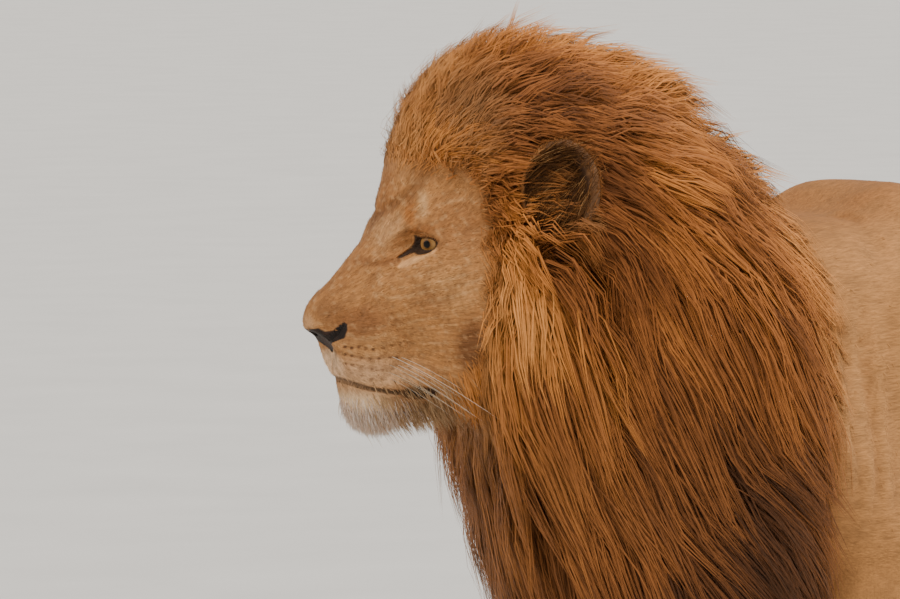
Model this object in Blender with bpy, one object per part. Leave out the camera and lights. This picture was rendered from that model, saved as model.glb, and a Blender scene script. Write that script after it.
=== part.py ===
"""A male lion standing at its ease, its head turned to the right: life-size solids for a display model.

Metres. +X runs forward along the trunk, +Y is the lion's left and +Z is up. The floor is z = 0.
The flesh is a set of named masses, melted together in one distance field. The short coat is a
depth over the flesh, and the mane has masses of its own, out to the tips of its hair. The skinned
field becomes one closed mesh, which is then sawn into the parts that a person would name.
"""

import math

import bmesh
import bpy
import numpy as np
import openvdb
from mathutils import Euler, Matrix, Vector

# ---------------------------------------------------------------- driving dimensions
WITHERS_Z = 1.090  # top of the shoulders, under the coat
CROUP_Z = 1.045
BACK_Z = 1.030
CHEST_FLOOR_Z = 0.600
BELLY_Z = 0.645
CHEST_HALF_WIDTH = 0.170
HIP_HALF_WIDTH = 0.145
FORE_TRACK = 0.145  # a forepaw's distance from the midline
HIND_TRACK = 0.135
ELBOW_Z = 0.620
WRIST_Z = 0.215
KNEE_Z = 0.610
HOCK_Z = 0.335

HEAD_ORIGIN = Vector((0.935, -0.080, 1.050))  # midway between the eyes' inner corners, at their height
HEAD_YAW = math.radians(-27.0)
EYE_HALF_SPACING = 0.060
EYE_DEPTH = -0.0137  # an eyeball's centre, ahead of the head's origin
EYE_RADIUS = 0.0185

COAT_DEPTH = 0.007
FACE_COAT_DEPTH = 0.004
SAW_KERF = 0.0004  # the gap left between two sawn parts
GRID_STEP = 0.007
EAR_STEP = 0.004
BLOCK = 4  # grid steps along the side of one block
NEAR_BLOCKS = 2.2  # a block this many blocks from the surface is filled with one value
FIELD_REACH = 0.09  # the field is only right this near the surface
WHOLE_TRIANGLES = 4150
SOLE_DIP = 0.006  # the paws are modelled this far below the floor, and cut flat on it

EAR_TRIANGLES = 300
LID_OPENING = 0.012  # the radius of the gap between the lids
EAR_GAP = 0.0020  # the ears are cut this far clear of the head that they grow from
FINE_PULL = 0.04  # how strongly the face keeps its triangles
FOREPAW_TOP = 0.125
ELBOW_CUT_Z = 0.575
HINDPAW_TOP = 0.110
HOCK_CUT_Z = 0.300
KNEE_CUT_Z = 0.598
TUFT_CUT_Z = 0.430
TAIL_CUT_Z = 0.700
TINTS = {
    "eye": (0.55, 0.30, 0.06),
    "head": (0.45, 0.25, 0.11),
    "neck": (0.36, 0.16, 0.05),
    "tuft": (0.10, 0.05, 0.03),
    "coat": (0.48, 0.31, 0.17),
}

HEAD_TURN = Matrix.Rotation(HEAD_YAW, 3, "Z")
SIDES = {"left": 1.0, "right": -1.0}
FORE_STRIDE = {"left": 0.0, "right": 0.06}  # how far forward of its plain place each paw stands
HIND_STRIDE = {"left": -0.02, "right": 0.13}


# ---------------------------------------------------------------- the field and its masses
class Mass:
    """One lump of flesh: its distance function, where it is, how far it reaches, and how softly it melts in."""

    def __init__(self, distance, centre, reach, blend):
        self.distance = distance
        self.centre = centre
        self.reach = reach
        self.blend = blend


def in_head(point):
    return HEAD_ORIGIN + HEAD_TURN @ Vector(point)


def ellipsoid(centre, half, tilt=0.0, swing=0.0, roll=0.0, blend=0.03, head=False):
    """tilt lifts the front end, swing turns it to the left and roll leans the top to the right, in degrees."""
    turn = Euler((math.radians(roll), math.radians(-tilt), math.radians(swing)), "XYZ").to_matrix()
    if head:
        centre, turn = in_head(centre), HEAD_TURN @ turn
    middle, axes, half = np.array(centre), np.array(turn), np.array(half)

    def distance(points):
        local = (points - middle) @ axes
        scaled = np.linalg.norm(local / half, axis=1)
        slope = np.linalg.norm(local / half**2, axis=1)
        return scaled * (scaled - 1.0) / np.maximum(slope, 1e-6)

    return Mass(distance, middle, half.max(), blend)


def limb(start, end, start_radius, end_radius, flat=1.0, blend=0.03, head=False):
    """A tapered round bar. flat narrows it from side to side."""
    if head:
        start, end = in_head(start), in_head(end)
    side = np.array(HEAD_TURN @ Vector((0, 1, 0))) if head else np.array((0.0, 1.0, 0.0))
    first, run = np.array(start), np.array(end) - np.array(start)

    def distance(points):
        offset = points - first
        along = np.clip(offset @ run / (run @ run), 0.0, 1.0)
        away = offset - along[:, None] * run
        away += (away @ side)[:, None] * (1.0 / flat - 1.0) * side
        radius = start_radius + along * (end_radius - start_radius)
        return (np.linalg.norm(away, axis=1) - radius) * flat

    reach = np.linalg.norm(run) / 2 + max(start_radius, end_radius)
    return Mass(distance, first + run / 2, reach, blend)


def melted(points, masses):
    """The distance from each point to all the masses melted together."""
    field = np.full(len(points), FIELD_REACH, np.float32)
    for mass in masses:
        near = np.abs(points - mass.centre).max(axis=1) < mass.reach + FIELD_REACH
        old, new = field[near], mass.distance(points[near])
        overlap = np.maximum(mass.blend - np.abs(old - new), 0.0)
        field[near] = np.minimum(old, new) - overlap**2 / (4 * mass.blend)
    return field


def carved(field, points, hollows):
    """The field with these masses taken out of it."""
    for mass in hollows:
        near = np.abs(points - mass.centre).max(axis=1) < mass.reach + FIELD_REACH
        old, new = field[near], -mass.distance(points[near])
        overlap = np.maximum(mass.blend - np.abs(old - new), 0.0)
        field[near] = np.maximum(old, new) + overlap**2 / (4 * mass.blend)
    return field


# ---------------------------------------------------------------- anatomy
def trunk_masses():
    chest_mid = (WITHERS_Z + CHEST_FLOOR_Z) / 2 - 0.0025
    belly_mid = (BACK_Z + BELLY_Z) / 2
    masses = [
        ellipsoid((0.17, 0, chest_mid - 0.01), (0.40, CHEST_HALF_WIDTH, 0.228), blend=0.05),
        ellipsoid((0.44, 0, chest_mid - 0.04), (0.20, 0.150, 0.205), blend=0.06),
        ellipsoid((-0.19, 0, belly_mid - 0.005), (0.37, 0.150, 0.190), tilt=-3, blend=0.07),
        ellipsoid((-0.33, 0, 0.915), (0.26, 0.130, 0.125), blend=0.06),
        ellipsoid((-0.53, 0, CROUP_Z - 0.135), (0.225, HIP_HALF_WIDTH, 0.135), tilt=7, blend=0.06),
        limb((0.19, 0, WITHERS_Z - 0.062), (0.02, 0, BACK_Z - 0.045), 0.058, 0.055, blend=0.06),
        limb((0.02, 0, BACK_Z - 0.045), (-0.50, 0, CROUP_Z - 0.060), 0.055, 0.052, blend=0.06),
    ]
    for side in SIDES.values():
        masses += [
            limb((0.22, side * 0.055, 1.012), (-0.46, side * 0.055, 0.985), 0.055, 0.050, blend=0.05),
            limb((-0.46, side * 0.095, 0.975), (-0.66, side * 0.060, 0.950), 0.050, 0.045, blend=0.06),
        ]
    return masses


def foreleg_masses(side, stride):
    """stride moves the paw forward of the elbow, and the joints above it in their share."""
    shoulder = Vector((0.510 + 0.05 * stride, side * 0.150, 0.790))
    elbow = Vector((0.345 + 0.25 * stride, side * 0.160, ELBOW_Z + 0.01))
    wrist = Vector((0.375 + 0.85 * stride, side * (FORE_TRACK + 0.003), WRIST_Z))
    knuckle = Vector((0.405 + stride, side * FORE_TRACK, 0.072))
    y = side * FORE_TRACK
    x = knuckle.x
    masses = [
        limb((0.240, side * 0.068, WITHERS_Z - 0.085), shoulder, 0.052, 0.092, flat=0.72, blend=0.09),
        limb(shoulder, elbow, 0.090, 0.066, flat=0.85, blend=0.05),
        limb((0.330, side * 0.115, 0.920), elbow + Vector((-0.005, -0.01 * side, 0.03)), 0.080, 0.060,
             flat=0.75, blend=0.08),
        ellipsoid(elbow + Vector((0.02, 0, -0.075)), (0.070, 0.056, 0.115), tilt=4, blend=0.04),
        limb(elbow + Vector((-0.028, 0, 0.0)), wrist, 0.052, 0.040, blend=0.04),
        limb(elbow + Vector((0.030, 0, -0.05)), wrist + Vector((0.008, 0, 0)), 0.050, 0.040, blend=0.04),
        ellipsoid(wrist, (0.045, 0.047, 0.055), blend=0.03),
        limb(wrist, knuckle + Vector((-0.015, 0, 0.025)), 0.041, 0.046, blend=0.03),
        ellipsoid((x - 0.012, y, 0.045), (0.072, 0.060, 0.045), blend=0.03),
        ellipsoid((x - 0.050, y, 0.030), (0.040, 0.042, 0.034), blend=0.02),
        ellipsoid(wrist + Vector((-0.042, 0, -0.018)), (0.016, 0.014, 0.018), blend=0.015),
    ]
    return masses + toe_masses((x + 0.028, y), side, 1.0)


def toe_masses(root, side, size):
    """Four toes fanned from the paw, the middle two the longest."""
    masses = []
    for place, reach in ((-1.5, 0.030), (-0.5, 0.047), (0.5, 0.049), (1.5, 0.033)):
        spread = place * 0.0285 * size
        y = root[1] + side * spread
        knuckle = (root[0] + 0.25 * reach * size, y, 0.046 * size)
        tip = (root[0] + (reach + 0.006) * size, y + side * 0.15 * spread, 0.026 * size)
        masses.append(limb(knuckle, tip, 0.0215 * size, 0.0205 * size, blend=0.009))
    return masses


def hind_leg_masses(side, stride):
    hip = Vector((-0.560, side * 0.085, 0.890))
    knee = Vector((-0.425 + 0.20 * stride, side * 0.140, KNEE_Z))
    hock = Vector((-0.715 + 0.75 * stride, side * 0.130, HOCK_Z))
    ankle = Vector((-0.672 + stride, side * HIND_TRACK, 0.085))
    y = side * HIND_TRACK
    x = ankle.x + 0.040
    masses = [
        ellipsoid((-0.545, side * 0.100, 0.800), (0.150, 0.070, 0.195), tilt=-14, blend=0.05),
        limb(hip, knee, 0.130, 0.078, flat=0.62, blend=0.05),
        limb((-0.680, side * 0.070, 0.870), (-0.610 + 0.15 * stride, side * 0.125, 0.560), 0.078, 0.052,
             flat=0.75, blend=0.05),
        limb((-0.36, side * 0.125, 0.800), knee + Vector((0.01, 0, 0.02)), 0.050, 0.055, flat=0.6, blend=0.05),
        limb(knee, hock + Vector((0.015, 0, 0.015)), 0.074, 0.036, flat=0.78, blend=0.04),
        limb(knee + Vector((-0.07, 0, -0.02)), knee.lerp(hock, 0.62), 0.062, 0.035, flat=0.8, blend=0.05),
        limb(knee.lerp(hock, 0.45) + Vector((-0.055, 0, 0.02)), hock + Vector((-0.042, 0, 0.030)), 0.024, 0.021,
             blend=0.03),
        ellipsoid(hock, (0.044, 0.036, 0.048), blend=0.03),
        ellipsoid(hock + Vector((-0.038, 0, 0.022)), (0.022, 0.022, 0.030), blend=0.02),
        limb(hock, ankle, 0.036, 0.037, blend=0.03),
        limb(hock + Vector((-0.020, 0, -0.03)), ankle + Vector((-0.010, 0, 0.02)), 0.026, 0.028, blend=0.03),
        ellipsoid((x - 0.006, y, 0.043), (0.070, 0.053, 0.043), blend=0.03),
        ellipsoid((x - 0.040, y, 0.028), (0.035, 0.038, 0.031), blend=0.02),
    ]
    return masses + toe_masses((x + 0.030, y), side, 0.92)


def tail_line():
    """Points down the middle of the tail, with the flesh's radius at each: an arc that ends almost upright."""
    return [
        (Vector((-0.700 - 0.135 * math.sin(turn) - 0.085 * share**3, 0.055 * share**2,
                 0.990 - 0.72 * share + 0.05 * math.sin(turn) * (1 - share))), 0.050 - 0.034 * share**0.6)
        for share in np.linspace(0.0, 1.0, 13)
        for turn in [min(share / 0.35, 1.0) * math.pi / 2]
    ]


def tail_masses():
    line = tail_line()
    return [limb(a, b, ra, rb, blend=0.003) for (a, ra), (b, rb) in zip(line, line[1:])]


def tail_tuft_masses():
    end = tail_line()[-1][0]
    return [
        limb(end + Vector((0.012, -0.006, 0.05)), end + Vector((-0.028, 0.012, -0.055)), 0.022, 0.043, blend=0.03),
        limb(end + Vector((-0.028, 0.012, -0.055)), end + Vector((-0.060, 0.024, -0.155)), 0.043, 0.012, blend=0.03),
    ]


def neck_masses():
    nape = in_head((-0.170, 0.0, 0.010))
    throat = in_head((-0.130, 0.0, -0.110))
    return [
        limb((0.40, 0, 0.905), nape, 0.120, 0.088, blend=0.08),
        limb((0.47, 0, 0.830), throat, 0.150, 0.085, blend=0.08),
        limb((0.46, 0, 0.910), in_head((-0.150, 0, -0.050)), 0.150, 0.090, blend=0.08),
    ]


def head_masses():
    masses = [
        ellipsoid((-0.130, 0, -0.005), (0.112, 0.088, 0.082), blend=0.03, head=True),
        ellipsoid((-0.046, 0, 0.006), (0.078, 0.074, 0.062), tilt=-10, blend=0.03, head=True),
        ellipsoid((0.000, 0, 0.031), (0.040, 0.040, 0.037), blend=0.02, head=True),
        limb((0.012, 0, -0.014), (0.088, 0, -0.080), 0.045, 0.029, flat=1.06, blend=0.025, head=True),
        ellipsoid((0.097, 0, -0.094), (0.034, 0.037, 0.032), tilt=-12, blend=0.015, head=True),
        ellipsoid((0.036, 0, -0.108), (0.072, 0.058, 0.058), blend=0.03, head=True),
        ellipsoid((0.062, 0, -0.150), (0.035, 0.032, 0.019), blend=0.012, head=True),
        limb((0.049, 0, -0.176), (-0.060, 0, -0.150), 0.033, 0.050, blend=0.03, head=True),
        ellipsoid((0.047, 0, -0.188), (0.033, 0.033, 0.032), blend=0.02, head=True),
        ellipsoid((-0.080, 0, -0.110), (0.110, 0.080, 0.080), blend=0.04, head=True),
    ]
    for side in SIDES.values():
        masses += [
            ellipsoid((-0.004, side * 0.049, 0.025), (0.040, 0.027, 0.020), tilt=-36, blend=0.02, head=True),
            ellipsoid((0.050, side * 0.034, -0.132), (0.048, 0.034, 0.038), swing=-8 * side, blend=0.018,
                      head=True),
            limb((0.016, side * 0.040, -0.046), (0.046, side * 0.040, -0.104), 0.034, 0.034, blend=0.03, head=True),
            ellipsoid((-0.050, side * 0.070, -0.046), (0.084, 0.046, 0.054), tilt=-6, swing=-16 * side,
                      blend=0.045, head=True),
            ellipsoid((-0.075, side * 0.068, -0.110), (0.074, 0.046, 0.062), swing=-10 * side, blend=0.035,
                      head=True),
            limb((0.040, side * 0.022, -0.178), (-0.050, side * 0.058, -0.158), 0.024, 0.034, blend=0.025,
                 head=True),
        ]
    return masses


def head_hollows():
    """The dips at the inner corners of the eyes and the step from nose to lip."""
    hollows = [ellipsoid((0.130, 0, -0.137), (0.034, 0.050, 0.030), blend=0.007, head=True)]
    for side in SIDES.values():
        hollows += [
            ellipsoid((0.032, side * 0.064, -0.010), (0.030, 0.018, 0.016), tilt=-38, blend=0.018, head=True),
            ellipsoid((0.010, side * 0.084, 0.000), (0.022, 0.022, 0.012), blend=0.008, head=True),
        ]
    return hollows


def mane_masses():
    """The mane out to the tips of its hair: crown, ruff, neck, bib and mantle."""
    masses = [
        ellipsoid((-0.141, 0, 0.075), (0.171, 0.148, 0.180), tilt=4, blend=0.05, head=True),
        ellipsoid((-0.270, 0, 0.026), (0.142, 0.170, 0.178), blend=0.06, head=True),
        ellipsoid((-0.178, 0, -0.230), (0.105, 0.130, 0.170), tilt=-6, blend=0.06, head=True),
        ellipsoid((0.615, 0, 0.920), (0.235, 0.238, 0.248), blend=0.08),
        ellipsoid((0.588, 0, 0.712), (0.244, 0.228, 0.228), blend=0.08),
        ellipsoid((0.600, 0, 0.860), (0.162, 0.262, 0.230), blend=0.06),
        ellipsoid((0.595, 0, 0.565), (0.140, 0.070, 0.140), tilt=8, blend=0.06),
        limb((0.520, 0, 1.000), (0.415, 0, 0.960), 0.135, 0.075, blend=0.06),
    ]
    for side in SIDES.values():
        masses += [
            ellipsoid((-0.138, side * 0.104, -0.130), (0.085, 0.088, 0.195), roll=-5 * side, blend=0.05, head=True),
        ]
    return masses


def ear_bays():
    """The bowls in the mane that the ears stand in."""
    return [
        ellipsoid((-0.128, side * 0.178, 0.068), (0.074, 0.071, 0.072), blend=0.02, head=True)
        for side in SIDES.values()
    ]


def coated_ear(side):
    """A rounded cup that faces outwards and forwards."""
    outer = ellipsoid((-0.150, side * 0.128, 0.064), (0.038, 0.053, 0.066), swing=58 * side, blend=0.01, head=True)
    cup = ellipsoid((-0.137, side * 0.149, 0.064), (0.033, 0.043, 0.055), swing=58 * side, blend=0.006, head=True)
    return lambda points: carved(melted(points, [outer]), points, [cup])


def coat_depth(points):
    """Short on the face and legs, fuller on the belly's underside."""
    face = np.linalg.norm(points - np.array(in_head((0.03, 0, -0.07))), axis=1)
    share = np.clip((face - 0.14) / 0.10, 0.0, 1.0)
    return FACE_COAT_DEPTH + share * (COAT_DEPTH - FACE_COAT_DEPTH)


def coated_lion(points):
    flesh = trunk_masses() + neck_masses() + head_masses() + tail_masses()
    for name, side in SIDES.items():
        flesh += foreleg_masses(side, FORE_STRIDE[name]) + hind_leg_masses(side, HIND_STRIDE[name])
    field = carved(melted(points, flesh), points, head_hollows()) - coat_depth(points)
    mane = carved(melted(points, mane_masses()), points, ear_bays())
    field = smooth_union(field, mane, 0.025)
    return smooth_union(field, melted(points, tail_tuft_masses()), 0.015)


def smooth_union(first, second, blend):
    overlap = np.maximum(blend - np.abs(first - second), 0.0)
    return np.minimum(first, second) - overlap**2 / (4 * blend)


# ---------------------------------------------------------------- from field to closed mesh
def sampled(field, low, counts, step):
    """The field on a grid. Only the blocks near the surface are worked out in full."""
    blocks = [-(-count // BLOCK) for count in counts]
    samples = np.empty([BLOCK * count for count in blocks], np.float32)
    corner = np.stack(np.meshgrid(*[np.arange(BLOCK)] * 3, indexing="ij"), axis=-1).reshape(-1, 3)
    for i in range(blocks[0]):
        j, k = (axis.ravel() for axis in np.meshgrid(*[np.arange(n) for n in blocks[1:]], indexing="ij"))
        first = np.stack([np.full(len(j), i), j, k], axis=1) * BLOCK
        rough = field(low + (first + (BLOCK - 1) / 2) * step)
        slab = np.repeat(rough[:, None], BLOCK**3, axis=1)
        near = np.abs(rough) < BLOCK * step * NEAR_BLOCKS
        inside = (first[near][:, None, :] + corner).reshape(-1, 3)
        slab[near] = field(low + inside * step).reshape(-1, BLOCK**3)
        slab = slab.reshape(blocks[1], blocks[2], BLOCK, BLOCK, BLOCK).transpose(2, 0, 3, 1, 4)
        samples[i * BLOCK:(i + 1) * BLOCK] = slab.reshape(BLOCK, blocks[1] * BLOCK, blocks[2] * BLOCK)
    return samples


def skinned(name, field, low, high, step):
    """A closed mesh where the field is zero, inside the box from low to high."""
    low, high = np.array(low), np.array(high)
    samples = sampled(field, low, np.ceil((high - low) / step).astype(int), step)
    grid = openvdb.FloatGrid()
    grid.copyFromArray(samples)
    points, triangles, quads = grid.convertToPolygons(isovalue=0.0)
    mesh = bpy.data.meshes.new(name)
    mesh.from_pydata((points * step + low).tolist(), [], triangles.tolist() + quads.tolist())
    shaped = bmesh.new()
    shaped.from_mesh(mesh)
    bmesh.ops.recalc_face_normals(shaped, faces=shaped.faces)
    shaped.to_mesh(mesh)
    shaped.free()
    piece = bpy.data.objects.new(name, mesh)
    collection("lion").objects.link(piece)
    return piece


def collection(name):
    found = bpy.data.collections.get(name)
    if found is None:
        found = bpy.data.collections.new(name)
        bpy.context.scene.collection.children.link(found)
    return found


def clear_scene():
    for old in list(bpy.data.objects):
        bpy.data.objects.remove(old)


def grown_copy(piece, depth):
    """A hidden copy of the piece with every vertex moved outwards, to cut a neighbour clear of it."""
    copy = bpy.data.objects.new(piece.name + "_grown", piece.data.copy())
    copy.data.vertices.foreach_set("co", np.ravel([v.co + v.normal * depth for v in piece.data.vertices]))
    return as_cutter(copy)


def as_cutter(piece):
    collection("lion_cutters").objects.link(piece)
    piece.hide_render = True
    piece.display_type = "WIRE"
    return piece


def settled(piece):
    """The piece with its modifiers worked into its mesh."""
    mesh = bpy.data.meshes.new_from_object(piece.evaluated_get(bpy.context.evaluated_depsgraph_get()))
    piece.modifiers.clear()
    piece.data = mesh
    return piece


def thinned(piece, triangles, fine_share=None):
    """The piece with about this many triangles. fine_share says how freely each vertex may go, from 0 to 1."""
    decimate = piece.modifiers.new("thin", "DECIMATE")
    decimate.ratio = triangles / sum(len(face.vertices) - 2 for face in piece.data.polygons)
    decimate.use_collapse_triangulate = True
    if fine_share is not None:
        group = piece.vertex_groups.new(name="free")
        for vertex, share in zip(piece.data.vertices, fine_share):
            group.add([vertex.index], float(share), "REPLACE")
        decimate.vertex_group = "free"
        decimate.vertex_group_factor = FINE_PULL
    settled(piece)
    piece.vertex_groups.clear()
    return piece


def combined(piece, other, operation):
    modifier = piece.modifiers.new(operation.lower(), "BOOLEAN")
    modifier.operation = operation
    modifier.solver = "EXACT"
    modifier.object = other
    return settled(piece)


def main_body(piece):
    """The piece without the crumbs that a cut leaves beside its largest body."""
    shaped = bmesh.new()
    shaped.from_mesh(piece.data)
    left, bodies = set(shaped.verts), []
    while left:
        body, edge = set(), [next(iter(left))]
        while edge:
            vertex = edge.pop()
            if vertex not in body:
                body.add(vertex)
                edge += [link.other_vert(vertex) for link in vertex.link_edges]
        bodies.append(body)
        left -= body
    largest = max(bodies, key=len)
    bmesh.ops.delete(shaped, geom=[v for v in shaped.verts if v not in largest], context="VERTS")
    shaped.to_mesh(piece.data)
    shaped.free()
    return piece


def box(name, low, high, turn, origin, grow):
    """A hidden box, from low to high in a frame that is turned and then moved to the origin."""
    middle, half = (Vector(low) + Vector(high)) / 2, (Vector(high) - Vector(low)) / 2
    mesh = bpy.data.meshes.new(name)
    shaped = bmesh.new()
    bmesh.ops.create_cube(shaped, size=2.0)
    for vertex in shaped.verts:
        reach = Vector([half[i] + grow for i in range(3)])
        vertex.co = origin + turn @ (middle + vertex.co * reach)
    shaped.to_mesh(mesh)
    shaped.free()
    return as_cutter(bpy.data.objects.new(name, mesh))


def ball(name, centre, radius):
    mesh = bpy.data.meshes.new(name)
    shaped = bmesh.new()
    bmesh.ops.create_uvsphere(shaped, u_segments=16, v_segments=10, radius=radius,
                              matrix=Matrix.Translation(centre))
    shaped.to_mesh(mesh)
    shaped.free()
    return bpy.data.objects.new(name, mesh)


class Cut:
    """A box that saws one named part from the rest. Its frame is the head's, or one tilted about a foot."""

    def __init__(self, name, low, high, turn=None, origin=(0, 0, 0)):
        self.name, self.low, self.high = name, low, high
        self.turn = Matrix.Identity(3) if turn is None else turn
        self.origin = Vector(origin)


def leg_cuts(name, side, fore_stride):
    """The paws first, then upwards. The roots of the legs are sawn on a slope, out and up from the midline."""
    def across(inner, outer):
        return (inner, outer) if side > 0 else (-outer, -inner)

    def sloped(part, x_range, foot, rise, length):
        turn = Matrix.Rotation(side * math.radians(rise), 3, "X")
        low_y, high_y = across(0.0, length)
        return Cut(part + name, (x_range[0], low_y, -0.45), (x_range[1], high_y, 0.0), turn,
                   (0, side * foot[0], foot[1]))

    inner, outer = across(0.079, 0.40)
    near, far = across(0.0005, 0.40)
    return [
        Cut("forepaw_" + name, (0.20, near, -0.10), (0.75, far, FOREPAW_TOP)),
        Cut("forearm_" + name, (0.20, inner, FOREPAW_TOP), (0.462 + fore_stride, outer, ELBOW_CUT_Z)),
        sloped("upper_foreleg_", (0.20, 0.545), (0.090, ELBOW_CUT_Z), 71, 0.30),
        Cut("hind_paw_" + name, (-0.95, near, -0.10), (-0.20, far, HINDPAW_TOP)),
        Cut("hind_foot_" + name, (-0.815, near, HINDPAW_TOP), (-0.20, far, HOCK_CUT_Z)),
        Cut("shank_" + name, (-0.815, near, HOCK_CUT_Z), (-0.20, far, KNEE_CUT_Z)),
        sloped("thigh_", (-0.78, -0.27), (0.0005, KNEE_CUT_Z), 54, 0.40),
    ]


def body_cuts():
    jaw_turn = HEAD_TURN @ Matrix.Rotation(math.radians(-10.5), 3, "Y")
    return [
        Cut("tail_tuft", (-1.20, -0.20, 0.05), (-0.822, 0.25, TUFT_CUT_Z)),
        Cut("tail_middle", (-1.20, -0.20, TUFT_CUT_Z), (-0.802, 0.25, TAIL_CUT_Z)),
        Cut("tail_root", (-1.20, -0.20, TAIL_CUT_Z), (-0.770, 0.25, 1.20)),
        Cut("lower_jaw", (-0.075, -0.10, -0.14), (0.10, 0.10, 0.0), jaw_turn, in_head((0.049, 0, -0.170))),
        Cut("head", (-0.245, -0.45, -0.365), (0.35, 0.45, 0.45), HEAD_TURN, HEAD_ORIGIN),
        Cut("neck", (0.515, -0.45, 0.30), (1.20, 0.45, 1.45)),
    ]


def sawn(whole, cuts):
    """The parts, each cut from the rest with a thin gap. What is left of the whole is the last of them."""
    parts = []
    for cut in cuts:
        part = bpy.data.objects.new(cut.name, whole.data.copy())
        collection("lion").objects.link(part)
        combined(part, box(cut.name + "_box", cut.low, cut.high, cut.turn, cut.origin, 0.0), "INTERSECT")
        main_body(part)
        combined(whole, box(cut.name + "_kerf", cut.low, cut.high, cut.turn, cut.origin, SAW_KERF), "DIFFERENCE")
        parts.append(part)
    main_body(whole).name = "trunk"
    return parts + [whole]


def painted(piece):
    """Each part has its own material: tawny coat, darker mane, amber eyes."""
    tint = next((colour for key, colour in TINTS.items() if key in piece.name), TINTS["coat"])
    material = bpy.data.materials.new(piece.name + "_coat")
    material.use_nodes = True
    shader = material.node_tree.nodes["Principled BSDF"]
    shader.inputs["Base Color"].default_value = (*tint, 1.0)
    shader.inputs["Roughness"].default_value = 0.1 if "eye" in piece.name else 0.8
    piece.data.materials.clear()
    piece.data.materials.append(material)


def centred(parts):
    """Everything moved so that the middle of its box's bottom is the origin."""
    corners = np.array([v.co for part in parts for v in part.data.vertices])
    middle = (corners.min(axis=0) + corners.max(axis=0)) / 2
    shift = Matrix.Translation((-middle[0], -middle[1], 0.0))
    for piece in [*parts, *collection("lion_cutters").objects]:
        piece.data.transform(shift)


def main():
    clear_scene()
    whole = skinned("lion", coated_lion, (-1.06, -0.36, -SOLE_DIP - 0.01), (1.16, 0.36, 1.36), GRID_STEP)
    points = np.array([vertex.co for vertex in whole.data.vertices])
    face = np.linalg.norm(points - np.array(in_head((0.05, 0, -0.08))), axis=1)
    thinned(whole, WHOLE_TRIANGLES, np.clip((face - 0.10) / 0.12, 0.2, 1.0))
    combined(whole, box("floor", (-1.5, -1, -0.5), (1.5, 1, 0.0), Matrix.Identity(3), Vector(), 0.0), "DIFFERENCE")
    parts = []
    around_ears = grown_copy(whole, EAR_GAP)
    for name, side in SIDES.items():
        centre, reach = in_head((-0.140, side * 0.135, 0.064)), Vector((0.11, 0.11, 0.09))
        ear = thinned(skinned("ear_" + name, coated_ear(side), centre - reach, centre + reach, EAR_STEP), EAR_TRIANGLES)
        parts.append(main_body(combined(ear, around_ears, "DIFFERENCE")))
        socket = in_head((EYE_DEPTH, side * EYE_HALF_SPACING, 0))
        eye = ball("eye_" + name, socket, EYE_RADIUS)
        collection("lion").objects.link(eye)
        parts.append(eye)
        combined(whole, as_cutter(ball("socket_" + name, socket, EYE_RADIUS + SAW_KERF)), "DIFFERENCE")
        opening = in_head((EYE_DEPTH + 0.014, side * (EYE_HALF_SPACING + 0.015), 0))
        combined(whole, as_cutter(ball("lids_" + name, opening, LID_OPENING)), "DIFFERENCE")
    cuts = [cut for name, side in SIDES.items() for cut in leg_cuts(name, side, FORE_STRIDE[name])] + body_cuts()
    parts += sawn(whole, cuts)
    for part in parts:
        painted(part)
    centred(parts)


main()
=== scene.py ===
"""A male lion standing at its ease, its head turned to the right, dressed over its solid model.

Metres, in the solid model's frame. One skin stands for all the flesh. It lies a coat's depth inside
the solids, and under the mane it lies deeper, as a core that the locks grow out of. The coat is made of
closed hair shapes: short tufts on the body, long locks in the mane, and finer hair on face and ears.
"""
import math
from functools import partial

import bmesh
import bpy
import numpy as np
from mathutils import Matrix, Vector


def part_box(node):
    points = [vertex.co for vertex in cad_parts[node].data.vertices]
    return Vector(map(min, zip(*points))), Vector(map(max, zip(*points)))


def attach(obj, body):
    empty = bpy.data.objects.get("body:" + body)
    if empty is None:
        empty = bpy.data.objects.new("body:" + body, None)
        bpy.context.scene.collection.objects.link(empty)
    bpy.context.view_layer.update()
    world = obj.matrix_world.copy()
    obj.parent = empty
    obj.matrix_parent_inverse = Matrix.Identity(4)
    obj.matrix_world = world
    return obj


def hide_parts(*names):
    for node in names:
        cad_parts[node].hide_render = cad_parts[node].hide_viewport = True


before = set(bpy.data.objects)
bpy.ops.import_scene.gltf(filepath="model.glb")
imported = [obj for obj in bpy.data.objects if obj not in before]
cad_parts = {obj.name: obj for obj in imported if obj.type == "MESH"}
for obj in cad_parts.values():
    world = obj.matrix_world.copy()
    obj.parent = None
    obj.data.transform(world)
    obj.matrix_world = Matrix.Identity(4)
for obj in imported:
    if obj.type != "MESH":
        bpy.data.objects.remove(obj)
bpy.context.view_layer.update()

import openvdb
from mathutils import Euler, Matrix, Vector

# ---------------------------------------------------------------- sizes shared with the solid model
HEAD_ORIGIN = Vector((0.935, -0.08, 1.05))  # before the model is centred
HEAD_TURN = Matrix.Rotation(math.radians(-27.0), 3, "Z")
HEAD_AXES = np.array(HEAD_TURN)
EYE_PLACE = (-0.0137, 0.06, 0.0)  # the left eyeball's centre, in the head's frame
EYE_RADIUS = 0.0185
FACE_MIDDLE = (0.02, 0, -0.06)  # these four places too are in the head's frame
NOSE_TIP = (0.15, 0.0, -0.105)
EAR_MIDDLE = (-0.145, 0.13, 0.06)
MOUTH_CORNER = (0.006, -0.18)  # ahead and up
FIELD_REACH = 0.09  # how far off a mass still counts
BLOCK = 4  # grid steps along a block
NEAR_BLOCKS = 2.2  # blocks within this of the surface are worked out in full
SIDES = {"left": 1.0, "right": -1.0}
FORE_STRIDE = {"left": 0.0, "right": 0.06}
HIND_STRIDE = {"left": -0.02, "right": 0.13}

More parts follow.
